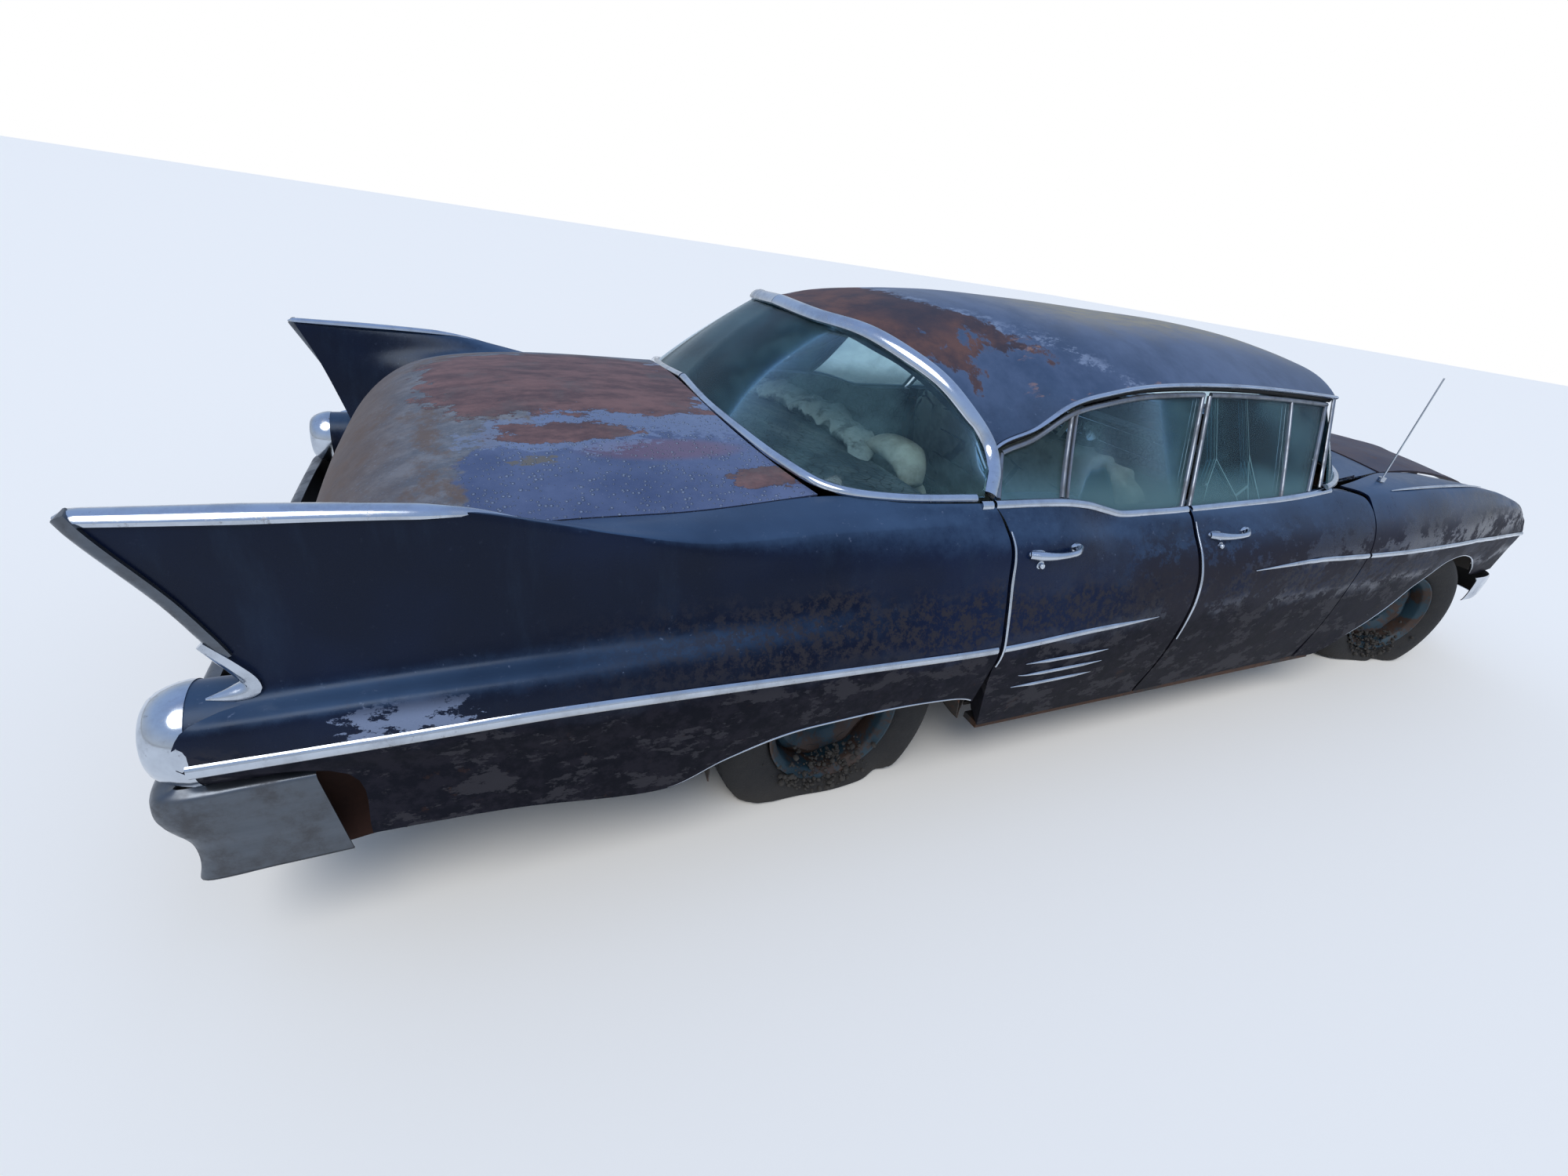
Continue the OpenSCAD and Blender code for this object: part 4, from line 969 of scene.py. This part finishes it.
red_lens, tree, shader = material("faded_red_lens", 0.18)
ribs = ribbing(22, "Z")
plug(shader, "Base Color", blend(ribs, (0.16, 0.008, 0.006), (0.42, 0.03, 0.02)))
plug(shader, "Coat Weight", 0.6)
bump(shader, ribs, 0.4, 0.002)
pair(solid, "tail_pod", [pod_part(pod_outline)], [paint], slot="body_paint")
pair(solid, "tail_pod_lip", [pod_part(lip_outline)], [chrome])
pair(solid, "tail_lens", [pod_part(lens_outline), pod_part(ring_outline) + (1,)], [red_lens, chrome],
     slot="red_lens", once=["tail_lamps"])

# Plan of the bumper's face from the front of the side plate to the middle of the tail, and
# how far its section is swollen there; then its section, as setback and height, flat and swollen.
plan = np.array([(-2829, 973, 0), (-2900, 975, 0), (-2975, 976, 0.15), (-3030, 978, 0.4),
                 (-3080, 974, 0.85), (-3112, 958, 1), (-3124, 922, 1), (-3126, 850, 0.95),
                 (-3126, 600, 0.7), (-3126, 300, 0.7), (-3126, 0, 0.7)])
flat = np.array([(2, 266), (0, 272), (0, 330), (0, 380), (0, 420), (0, 452), (1, 468), (8, 477), (28, 480)])
swollen = np.array([(40, 250), (34, 254), (50, 300), (46, 340), (22, 372), (2, 405), (0, 440), (10, 464),
                    (48, 480)])
chord = distances(plan[:, :2])
bend = smooth(chord, plan, np.linspace(0, chord[-1], 90))
heading = np.gradient(bend[:, :2], axis=0)
heading /= np.linalg.norm(heading, axis=1, keepdims=True)
inward = np.stack((-heading[:, 1], heading[:, 0]), 1) * -1
inward *= np.sign((inward * (np.array((-2400, 500)) - bend[:, :2])).sum(1))[:, None]
flat, swollen = (smooth(np.arange(9), form, np.linspace(0, 8, 41)) for form in (flat, swollen))
swell = bend[:, 2, None]
back, swollen_back = flat[:, 0] * (1 - swell), swollen[:, 0] * swell
outer = grid_of(bend[:, 0, None] + inward[:, 0, None] * (back + swollen_back),
                -(bend[:, 1, None] + inward[:, 1, None] * (back + 0.35 * swollen_back)),
                flat[:, 1] * (1 - swell) + swollen[:, 1] * swell)
outer[..., 0] -= 0.0013 * np.clip(outer[..., 0] + 2950, 0, None) * (outer[..., 2] - 240)
half_bumper = outer.transpose(1, 0, 2)
full = np.concatenate((half_bumper, (half_bumper * (1, -1, 1))[:, -2::-1]), 1)[:, ::-1]
sheet("rear_bumper_bar", full, inset(full, 3.5), [satin, rubber], slot="bright_trim",
      replaces=["rear_bumper"])

# The tail below the lid: a dull panel with a blank plate in a plain frame.
v = np.linspace(-1, 1, 41)[:, None]
rise = np.linspace(0, 1, 14)[None, :]
tail_grid = grid_of(-2972 - 26 * np.sin(rise * math.pi) + 8 * v**2, 798 * v, 434 + 150 * rise)
sheet("tail_panel_skin", tail_grid[:, ::-1], tail_grid[:, ::-1] + (5, 0, 0), [paint])
plate_edge = [(-3004, -155, 478), (-3004, 155, 478), (-3004, 155, 566), (-3004, -155, 566),
              (-3004, -155, 478)]
plate_frame = [bead(np.array(plate_edge[k:k + 2]), (-1, 0, 0), 9, 6, step=60) for k in range(4)]
plate_frame += [turned([(0, 3), (5, 3), (6, 0), (0, 0)], (-3006, s * 88.9, 552), (-1, 0, 0), 12)
                for s in (-1, 1)]
blank = [bead([(-3001, -152, 522), (-3001, 0, 522), (-3001, 152, 522)], (-1, 0, 0), 82, 3, step=60)]
solid("blank_plate", plate_frame + [part + (1,) for part in blank], [chrome, satin])

# ---------------------------------------------------------------- Grille, headlamps and front bumper
# A wide low grille of thin bars crossed by rows of small studs, between paired lamps.
grille_frame = [(2338, -580, 735), (2352, -300, 738), (2356, 0, 739), (2352, 300, 738), (2338, 580, 735)]
grille_foot = [(2338, -580, 482), (2352, -300, 478), (2356, 0, 477), (2352, 300, 478), (2338, 580, 482)]
grille_parts = [bead(grille_frame, (1, 0, 0), 18, 14), bead(grille_foot, (1, 0, 0), 18, 14)]
for z in (526, 572, 618, 664, 708):
    grille_parts.append(bead(np.array(grille_frame) * (1, 1, 0) + (-12, 0, z), (1, 0, 0), 7, 16))
for y in np.linspace(-560, 560, 29):
    x = 2344 - 16 * (y / 560)**2
    grille_parts.append(bead([(x, y, 486), (x - 2, y, 610), (x, y, 732)], (1, 0, 0), 4, 10, step=60))
solid("grille_bars", grille_parts, [chrome], replaces=["grille"])

studs = bpy.data.node_groups.new("grille_studs", "GeometryNodeTree")
studs.interface.new_socket("Geometry", in_out="OUTPUT", socket_type="NodeSocketGeometry")
for label, kind, default in (("Spacing", "NodeSocketFloat", 0.040), ("Columns", "NodeSocketInt", 28),
                             ("Rows", "NodeSocketInt", 5), ("Stud radius", "NodeSocketFloat", 0.008)):
    studs.interface.new_socket(label, in_out="INPUT", socket_type=kind).default_value = default


def add(kind, **settings):
    """A node of the studs' tree."""
    made = studs.nodes.new(kind)
    for key, value in settings.items():
        setattr(made, key, value)
    return made


entry, exit_ = add("NodeGroupInput"), add("NodeGroupOutput")
lattice, sphere = add("GeometryNodeMeshGrid"), add("GeometryNodeMeshIcoSphere")
spread = [add("ShaderNodeMath", operation="MULTIPLY") for _ in range(2)]
less = [add("ShaderNodeMath", operation="SUBTRACT") for _ in range(2)]
onto, turned_up = add("GeometryNodeInstanceOnPoints"), add("GeometryNodeTransform")
real, painted = add("GeometryNodeRealizeInstances"), add("GeometryNodeSetMaterial")
ONE_LESS, TURN = 1.0, (0, math.radians(90), 0)


def wire(source, output, target, entrance):
    """A link between two nodes of the studs' tree."""
    studs.links.new(source.outputs[output], target.inputs[entrance])


for k, (label, axis) in enumerate((("Rows", "X"), ("Columns", "Y"))):
    less[k].inputs[1].default_value = ONE_LESS
    wire(entry, label, less[k], 0)
    wire(less[k], 0, spread[k], 0)
    wire(entry, "Spacing", spread[k], 1)
    wire(spread[k], 0, lattice, "Size " + axis)
    wire(entry, label, lattice, "Vertices " + axis)
sphere.inputs["Subdivisions"].default_value = 2
turned_up.inputs["Rotation"].default_value = TURN
turned_up.inputs["Translation"].default_value = metres((2350, 0, 618))
painted.inputs["Material"].default_value = chrome
wire(entry, "Stud radius", sphere, "Radius")
wire(lattice, "Mesh", onto, "Points")
wire(sphere, "Mesh", onto, "Instance")
for source, target in ((onto, turned_up), (turned_up, real), (real, painted), (painted, exit_)):
    wire(source, 0, target, 0)


def realized(name, tree_group, body, slot, materials, **inputs):
    """The plain mesh that a Geometry Nodes tree makes, as a piece that rides on a body."""
    holder = bpy.data.objects.new(name + "_maker", bpy.data.meshes.new(name + "_maker"))
    bpy.context.scene.collection.objects.link(holder)
    maker = holder.modifiers.new("maker", "NODES")
    maker.node_group = tree_group
    for item in tree_group.interface.items_tree:
        if item.in_out == "INPUT" and item.name in inputs:
            maker[item.identifier] = inputs[item.name]
    graph = bpy.context.evaluated_depsgraph_get()
    mesh = bpy.data.meshes.new_from_object(holder.evaluated_get(graph))
    bpy.data.objects.remove(holder)
    mesh.materials.clear()
    return piece(name, mesh, materials, body)


realized("grille_studs", studs, "car_body", "bright_trim", [chrome], **{"Stud radius": 0.009})

clear_lens, tree, shader = material("fogged_lamp_glass", 0.12)
plug(shader, "Base Color", blend(cloud(9, 6, 0.6), (0.3, 0.33, 0.34), (0.62, 0.64, 0.62)))
plug(shader, "Coat Weight", 1.0)
bump(shader, ribbing(30, "Y"), 0.3, 0.002)
pan_w, pan_z = np.meshgrid(np.linspace(578, 852, 28), np.linspace(0, 1, 26), indexing="ij")
pan_z = 488 + (246 + 18 * np.sin((pan_w - 578) / 274 * math.pi) - 26 * ((pan_w - 578) / 274)**3) * pan_z
pan = grid_of(2330 - 12 * ((pan_w - 600) / 250)**2, -pan_w, pan_z)
pair(sheet, "lamp_pan", pan, pan - (4, 0, 0), [paint])
lamp_bed = [turned([(0, -14), (0.97, -14), (1, -8), (1, 2), (0.96, 8), (0, 8)], (2338, -726, 662),
                   (1, 0, 0), 64, (142, 84))]
rings, lenses = [], []
for y in (-655, -795):
    rings.append(turned([(60, 0), (60, 20), (64, 30), (71, 33), (78, 26), (80, 8), (80, 0)], (2338, y, 662),
                        (1, 0, 0), 48))
    lenses.append(turned([(61, 2), (61, 12), (50, 21), (30, 28), (0, 31)], (2338, y, 662), (1, 0, 0), 40))
pair(solid, "headlamp_surround", lamp_bed + [ring + (1,) for ring in rings], [satin, chrome])
pair(solid, "headlamp_lenses", lenses, [clear_lens], slot="lamp_glass", once=["headlamps"])

bar_half = np.array([(2398, 0, 0), (2394, 250, 0), (2384, 500, 0), (2364, 720, 0), (2334, 836, 0),
                     (2284, 896, 0), (2190, 920, 0), (2066, 924, 0)])
along_bar = distances(bar_half)
bar_half = smooth(along_bar, bar_half, np.linspace(0, along_bar[-1], 46))
bar_plan = np.concatenate(((bar_half * (1, -1, 1))[::-1], bar_half[1:]))
bar_section = smooth(np.arange(6), [(-26, 340), (-8, 352), (0, 385), (0, 425), (-8, 458), (-30, 470)],
                     np.linspace(0, 5, 21))
front_bar = bar_plan[None] + grid_of(bar_section[:, 0], 0, bar_section[:, 1])[:, None]
sheet("front_bumper_bar", front_bar, inset(front_bar, 4), [chrome, rubber], slot="bright_trim",
      replaces=["front_bumper"])

# ---------------------------------------------------------------- Wheels
# Bare steel wheels in faded blue, caked with dirt, on tyres that have lost their air: the
# tread lies flat on the floor and the sidewalls bulge out and fold above it.
TRACK, AXLE, PARKED = 1550, 1645, math.radians(16)
HUBS = {"front": (AXLE - 60, 690, 276), "rear": (-AXLE, TRACK / 2, 252)}

tyre_rubber, tree, shader = material("dusty_tyre_rubber", 0.85)
dusting = ramp(cloud(7, 8, 0.7), 0.4, 0.68)
black = blend(cloud(40, 6, 0.7), (0.006, 0.006, 0.007), (0.02, 0.02, 0.021))
colour = blend(dusting * 0.6, black, (0.024, 0.022, 0.02))
low = ramp(split(object_place())["Z"], 0.1, 0.01)
plug(shader, "Base Color", blend(low * 0.5, colour, (0.034, 0.03, 0.026)))
crazing = cracking(60)
bump(shader, ramp(crazing, 0.0, 0.06) + cloud(9, 6, 0.6), 0.35, 0.003)

rim_paint, tree, shader = material("rusty_blue_wheel_paint", 0.6)
worn = cloud(11, 9, 0.72)
blue = blend(cloud(5, 5, 0.6), (0.005, 0.02, 0.032), (0.015, 0.052, 0.078))
rusty = blend(cloud(25, 9, 0.75), (0.016, 0.01, 0.008), (0.06, 0.03, 0.018))
plug(shader, "Base Color", blend(ramp(worn, 0.46, 0.56), blue, rusty))
bump(shader, worn, 0.5, 0.003)

dirt, tree, shader = material("dry_dirt", 0.95)
plug(shader, "Base Color", blend(cloud(60, 8, 0.7), (0.01, 0.009, 0.008), (0.075, 0.068, 0.06)))

# Half sections: the tyre's skin from the bead over the tread, and the rim. The height is
# towards the outer face of the wheel.
TREAD_BLOCKS, TREAD_RADIUS, GROOVE, FOLD_HEIGHT = 48, 356, 3.5, 14
TYRE = [(205, 72), (214, 84), (226, 92), (250, 100), (280, 104), (306, 102), (328, 96), (345, 84),
        (354, 74), (358, 66), (350, 64), (350, 58), (360, 56), (361, 40), (352, 38), (352, 32), (362, 30),
        (362, 14), (353, 12), (353, 6), (362, 4)]
RIM = [(42, -10), (42, 14), (60, 20), (84, 8), (104, 2), (124, 22), (148, 30), (166, 22), (176, 4),
       (181, 0), (182, 68), (186, 76), (196, 84), (204, 92), (210, 92), (209, 86), (200, 78), (192, 66),
       (191, 0), (191, -66), (199, -78), (209, -88), (207, -93), (200, -88), (184, -72), (180, -8),
       (164, 8), (148, 16), (126, 10), (106, -10), (84, -6)]


def tyre_part(hub_z, lean):
    """The tyre about its own hub, Y inwards, with its foot squashed on the floor."""
    skin = np.array(TYRE + [(r, -h) for r, h in TYRE[::-1]], float)
    steps = np.arange(3 * TREAD_BLOCKS)
    angle = around(len(steps))
    block = np.where((steps % 3 == 0)[:, None] & (skin[:, 0] > TREAD_RADIUS)[None], GROOVE, 0)
    radius = skin[None, :, 0] - block
    points = grid_of(radius * np.sin(angle)[:, None], -skin[:, 1], radius * np.cos(angle)[:, None])
    height = points[..., 2] + hub_z
    sag = np.exp(-np.clip(height, 0, None) / 75.0) * np.clip((skin[:, 0] - 212) / 60, 0, 1)
    fold = 1 + 0.35 * np.sin(points[..., 0] / 38.0 + lean)
    points[..., 1] *= 1 + 0.08 * sag * fold
    points[..., 0] *= 1 + 0.05 * sag
    pinch = np.exp(-((points[..., 0] - 205 * lean) / 46)**2) * np.exp(-(height / 90)**2) * 26
    points[..., 1] += np.sign(points[..., 1]) * -pinch
    # What would lie under the floor is folded up on to it, the lowest part the least.
    folded = FOLD_HEIGHT * np.exp((height - FOLD_HEIGHT) / 40) - hub_z
    points[..., 2] = np.where(height < FOLD_HEIGHT, folded, points[..., 2])
    return tube_ring(points)


def tube_ring(rings):
    """The closed skin over rings of points whose last ring joins the first."""
    count, around = rings.shape[:2]
    a = np.arange(count)[:, None] * around + np.arange(around)
    b = np.arange(count)[:, None] * around + (np.arange(around) + 1) % around
    c, d = np.roll(b, -1, 0), np.roll(a, -1, 0)
    return rings.reshape(-1, 3), np.stack((a, b, c, d), 2).reshape(-1, 4).tolist()


def rim_part():
    """The rim about its own hub, its disc waved into swellings between the slots, which are not cut through.
    """
    skin = np.array(RIM, float)
    angle = around(96)
    disc = (skin[:, 0] > 100) & (skin[:, 0] < 170)
    wave = 3.5 * np.sin(angle * 8)[:, None] * disc[None]
    points = grid_of(skin[:, 0] * np.sin(angle)[:, None], -(skin[:, 1] + wave),
                     skin[:, 0] * np.cos(angle)[:, None])
    return tube_ring(points)


def nuts_and_slots():
    """Five wheel nuts, eight dark rubber ovals that are painted shade standing for the slots, and the grease
    cap, about the wheel's own hub.
    """
    parts = []
    for k in range(5):
        a = 2 * math.pi * k / 5
        spot = (72 * math.sin(a), -16, 72 * math.cos(a))
        parts.append(turned([(0, 12), (5, 12), (7, 6), (11, 5), (11, -4), (0, -4)], spot, (0, -1, 0), 6))
    # Painted shade: each slot is a thin dark oval laid on the disc, in the dark rubber finish, in place of a
    # hole.
    for k in range(8):
        a = 2 * math.pi * (k + 0.25) / 8
        spot = (137 * math.sin(a), -27, 137 * math.cos(a))
        parts.append(turned([(0.0, 1), (0.9, 1), (1, -2), (0.0, -2)], spot, (0, -1, 0), 20, (20, 8),
                            (math.sin(a), 0, math.cos(a))) + (1,))
    hub = turned([(0, 44), (26, 42), (34, 34), (36, 10), (43, 8), (43, -6), (0, -6)], (0, 0, 0), (0, -1, 0),
                 36)
    return parts + [hub + (2,)]


def clods(seed, hub_z, count=260):
    """Dirt and stones that lie in the bottom of the rim and against the foot of the tyre."""
    random = np.random.default_rng(seed)
    parts = []
    for _ in range(count):
        size = 2.5 + 8 * random.random()**2.5
        spread = random.normal(0, 0.42)
        radius = random.uniform(128, min(hub_z - 8, 250))
        x, z = radius * math.sin(spread), -radius * math.cos(spread)
        y = -min(62 + 0.45 * (radius - 128) + random.uniform(-14, 10), 108)
        shape = [(0, 1), (0.7, 0.7), (1, 0.1), (0.8, -0.6), (0, -1)]
        outline = [(r * size * random.uniform(0.8, 1.2), h * size * 0.8) for r, h in shape]
        parts.append(turned(outline, (x, y, z), random.normal(0, 1, 3) + (0, 0, 0.2), 7))
    return parts


def at_wheel(parts, corner, name):
    """Parts made about a wheel's own hub, set at its corner; the fourth corner mirrors the second."""
    side = SIDES[name]
    x, w, z = HUBS[corner]
    moved = []
    for part in parts:
        p = np.asarray(part[0], float) * (1, -side, 1)
        if corner == "front":
            p = p + (0, side * (TRACK / 2 - w), 0)
            p = p @ np.array(Matrix.Rotation(-PARKED, 3, "Z")).T
        p = p + (x, side * w, z)
        moved.append((p,) + tuple(part[1:]))
    return moved


for number, (corner, name) in enumerate((c, n) for c in HUBS for n in SIDES):
    hub_z = HUBS[corner][2]
    body = f"{corner}_wheel_{name}"
    lean = 1.0 if corner == "rear" else 0.4
    solid(f"{corner}_tyre_rubber_{name}", at_wheel([tyre_part(hub_z, lean)], corner, name), [tyre_rubber],
          body, replaces=[f"{corner}_tyre_{name}"], slot="tyre_rubber", sharp=40)
    solid(f"{corner}_wheel_disc_{name}", at_wheel([rim_part()] + nuts_and_slots(), corner, name),
          [rim_paint, rubber, dirt], body, replaces=[f"{corner}_rim_{name}"], slot="rim_paint")
    solid(f"{corner}_wheel_dirt_{name}", at_wheel(clods(60 + number, hub_z), corner, name), [dirt], body,
          slot="tyre_rubber", sharp=60)

# ---------------------------------------------------------------- Seats
# Two benches, once ivory, now split, stained and shedding their stuffing. The rear
# backrest has burst along its top, and the stuffing spills over the shelf behind it.
seat_cloth, tree, shader = material("split_ivory_upholstery", 0.8)
stain = cloud(4, 9, 0.7)
weave = cloud(220, 3, 0.6)
ivory = blend(ramp(stain, 0.38, 0.66), (0.68, 0.63, 0.51), (0.26, 0.21, 0.15))
ivory = blend(weave * 0.3, ivory, (0.34, 0.31, 0.25))
tears = cracking(9, (1, 0.35, 1))
split = ramp(tears, 0.05, 0.02) * ramp(cloud(3, 4, 0.6), 0.48, 0.55)
plug(shader, "Base Color", blend(split, ivory, (0.035, 0.026, 0.02)))
bump(shader, weave * 0.3 + split * -1.0, 0.6, 0.004)


# How boxy a cushion is: 1 is a ball and 0 a block.
CORNER = 0.32


def cushion(name, low, high, lean=0.0, pleats=0, seed=1, ragged=5.0):
    """A soft rounded block between two corners, pleated along the car's width and sagging unevenly."""
    low, high = np.array(low, float), np.array(high, float)
    middle, half = (low + high) / 2, (high - low) / 2
    a = around(150)[None, :]
    b = np.linspace(-math.pi / 2, math.pi / 2, 60)[:, None]

    def rounded(value):
        return np.sign(value) * abs(value)**CORNER

    points = grid_of(rounded(np.cos(b)) * rounded(np.cos(a)), rounded(np.cos(b)) * rounded(np.sin(a)),
                     rounded(np.sin(b))) * half
    points *= 1 - 0.05 * abs(np.sin(points[..., 1:2] / half[1] * math.pi * pleats / 2))
    random = np.random.default_rng(seed)
    sag = sum(np.sin(points @ random.normal(0, 0.014, 3) + random.uniform(0, 6)) for _ in range(6))
    points[..., 2] += sag * ragged * 0.4 * (points[..., 2] > 0)
    points[..., 0] += sag * ragged * 0.25
    points[..., 0] -= (points[..., 2] + half[2]) * lean
    made = solid(name, [tube((points + middle)[1:-1])], [seat_cloth], slot="seat_cloth", sharp=70)
    return made


front_cushion = cushion("front_seat_cushion", (-325, -686, 325), (225, 686, 500), pleats=14, seed=3)
cushion("front_seat_back", (-420, -684, 455), (-265, 684, 955), lean=0.22, pleats=14, seed=4)
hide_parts("front_seat")
rear_cushion = cushion("rear_seat_cushion", (-1205, -556, 325), (-655, 556, 500), pleats=12, seed=5)
cushion("rear_seat_back", (-1292, -556, 455), (-1140, 556, 925), lean=0.22, pleats=12, seed=6, ragged=12)
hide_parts("rear_seat")

stuffing, tree, shader = material("matted_stuffing", 0.95)
fluff = cloud(45, 10, 0.8)
tone = blend(fluff, (0.34, 0.33, 0.28), (0.82, 0.79, 0.7))
plug(shader, "Base Color", blend(ramp(cloud(8, 8, 0.7), 0.5, 0.62, 0, 0.8), tone, (0.075, 0.065, 0.05)))
bump(shader, fluff, 1.0, 0.012)


def torn_mass(name, path, wide, thick, seed):
    """A matted roll of stuffing along a path, frayed by a fractal noise."""
    points, faces = bead(path, UP, wide, thick, (0.3, 0.9, 1.1, 0.8, 1.1, 0.7, 0.9, 0.2), 8,
                         np.array([(0.5 * math.cos(k), 0.5 + 0.5 * math.sin(k))
                                   for k in np.linspace(0, 6.2832, 25)[:-1]]))
    fraying = [fractals.fractal(Vector(p * 0.021) + Vector((seed, 0, 0)), 0.8, 2.1, 7) for p in points]
    torn = points + (np.array(fraying)[:, None] * np.array((16, 14, 15)))
    return solid(name, [(torn, faces)], [stuffing], slot="seat_cloth", sharp=80)


torn_mass("spilled_stuffing", [(-1560, 480, 925), (-1500, 330, 935), (-1440, 170, 940), (-1420, 0, 945),
                               (-1400, -180, 938), (-1420, -330, 930), (-1470, -470, 925)], 170, 52, 2)
torn_mass("shelf_litter", [(-1800, 250, 914), (-1720, 60, 916), (-1690, -120, 914), (-1600, -280, 914)],
          110, 20, 9)

roll = bead([(-1352, -330, 905), (-1352, -440, 925), (-1352, -520, 915), (-1350, -562, 868)], UP, 150, 70,
            (0.6, 1, 1, 0.5), 8,
            0.5 * np.array([(math.cos(k), 1 + math.sin(k)) for k in np.linspace(0, 6.2832, 25)[:-1]]))
solid("rear_seat_shoulder", [roll], [seat_cloth], slot="seat_cloth", sharp=80)

# ---------------------------------------------------------------- Interior panels
# The tray below the rear window, a faded dashboard with its dials, and a sun visor pair.
tray_v = np.linspace(-1, 1, 61)[:, None]
tray_u = np.linspace(0, 1, 16)[None, :]
tray_back = along(REAR_GLASS_LOW, abs(tray_v[:, 0]) * 0.9)
tray = grid_of(tray_back[:, 1, None] + 18 + (-1440 - tray_back[:, 1, None] - 18) * tray_u,
               (tray_back[:, 2, None] - 10) * np.sign(tray_v) * (1 - 0.06 * tray_u),
               (tray_back[:, 3, None] - 14) * (1 - tray_u) + 922 * tray_u)
sheet("rear_window_tray", tray, inset(tray, 5), [vinyl], slot="shelf_trim")

dials = [turned([(0, 10), (46, 10), (56, 16), (62, 12), (64, 0), (0, 0)], (424, y, 838), (-1, 0, 0.12), 40)
         for y in (300, 440)]
dials += [bead([(418, -560, 876), (414, 0, 884), (418, 560, 876)], (-1, 0, 0.2), 12, 8),
          bead([(424, -560, 800), (420, 0, 800), (424, 560, 800)], (-1, 0, 0), 9, 7)]
solid("dashboard_dials", dials, [chrome], slot="bright_trim")
visors = [bead([(560, s * 110, 1278), (530, s * 330, 1262), (480, s * 520, 1230)], (0.5, 0, -1), 150, 12,
               step=30) for s in (-1, 1)]
solid("sun_visors", visors, [vinyl], slot="dash", sharp=60)

# ---------------------------------------------------------------- Rust and dirt under the car
# Finishes of the construction's own parts that stay in view: frame, floor, running gear.
iron, tree, shader = material("scaling_rust", 0.85)
scale_noise = cloud(16, 10, 0.75)
tone = blend(scale_noise, (0.022, 0.012, 0.008), (0.105, 0.044, 0.02))
plug(shader, "Base Color", blend(ramp(cloud(5, 7, 0.7), 0.5, 0.62), tone, (0.028, 0.026, 0.026)))
bump(shader, scale_noise, 0.6, 0.004)
undercoat, tree, shader = material("dirty_floor_metal", 0.9)
tone = blend(cloud(9, 9, 0.7), (0.018, 0.017, 0.017), (0.055, 0.045, 0.036))
plug(shader, "Base Color", blend(ramp(cloud(6, 9, 0.75), 0.52, 0.6), tone, (0.095, 0.042, 0.022)))
bump(shader, cloud(30, 9, 0.7), 0.5, 0.003)
# Rust colour darkened with painted shade, to the dark look it has tucked under the tail.
rust_painted_dark_for_shade, tree, shader = material("rust_painted_dark_for_shade", 0.9)
plug(shader, "Base Color", blend(cloud(14, 10, 0.76), (0.008, 0.006, 0.006), (0.05, 0.022, 0.015)))
plug(shader, "Specular IOR Level", 0.1)
core, tree, shader = material("radiator_fins", 0.6, 0.6)
fins = ribbing(95, "Y")
plug(shader, "Base Color", blend(fins, (0.01, 0.01, 0.01), (0.07, 0.065, 0.05)))
bump(shader, fins, 0.8, 0.003)
ivory_plastic, tree, shader = material("yellowed_plastic", 0.35)
plug(shader, "Base Color", blend(cloud(12, 6, 0.6), (0.42, 0.37, 0.27), (0.6, 0.56, 0.46)))
FINISHES = {"rusty_frame": iron, "rusty_pipe": iron, "engine_iron": iron, "floor_metal": undercoat,
            "radiator_core": core, "ivory_plastic": ivory_plastic, "shelf_trim": vinyl, "dash": vinyl,
            "bright_trim": chrome, "body_paint": paint, "rim_paint": iron, "window_glass": glass,
            "seat_cloth": seat_cloth, "red_lens": red_lens, "lamp_glass": clear_lens,
            "tyre_rubber": tyre_rubber}
for part in frame["record"]["subparts"]:
    mesh = frame["nodes"][part["node"]].data
    mesh.materials.clear()
    mesh.materials.append(FINISHES[part["material_slot"]])


def lining(name, hub_x, hub_z, radius, reach, start, end):
    """A wheelhouse skin round a wheel, between two half-widths of the car."""
    turn = np.radians(np.linspace(start, end, 48))[:, None]
    w = np.linspace(*reach, 12)[None, :]
    # Shallow dents of a hammered, dirty skin.
    radius = radius + 3 * np.sin(turn * 9 + w / 60) + 2 * np.sin(w / 23 + turn * 5)
    grid = grid_of(hub_x + radius * np.cos(turn), -w, hub_z + radius * np.sin(turn))
    pair(sheet, name, grid, inset(grid, 3), [undercoat], slot="floor_metal")


lining("rear_wheelhouse", -AXLE, 252, 412, (656, 942), 34, 186)
lining("rear_wheelhouse_foot", -AXLE, 252, 371, (656, 962), 5, 26)
lining("front_wheelhouse", AXLE - 60, 276, 468, (452, 886), 29, 178)
w, z = np.meshgrid(np.linspace(656, 956, 24), np.linspace(0, 1, 14), indexing="ij")
z = (268 + 70 * ((956 - w) / 300)**2) * (1 - z) + 384 * z
closing = grid_of(-1262 + 3 * np.sin(w / 31) + 2 * np.sin(z / 17), -w, z)
pair(sheet, "wheelhouse_end", closing, inset(closing, 3), [undercoat], slot="floor_metal")
# Brackets behind the rear wheels, in rust with painted shade.
x, z = np.linspace(-2965, -2742, 24)[:, None], np.linspace(252, 492, 24)
bracket = grid_of(x, -(918 + 10 * np.sin(z / 34) + 5 * np.sin(x / 29)), z)
pair(sheet, "bumper_bracket", bracket, inset(bracket, 4), [rust_painted_dark_for_shade], slot="rusty_frame")
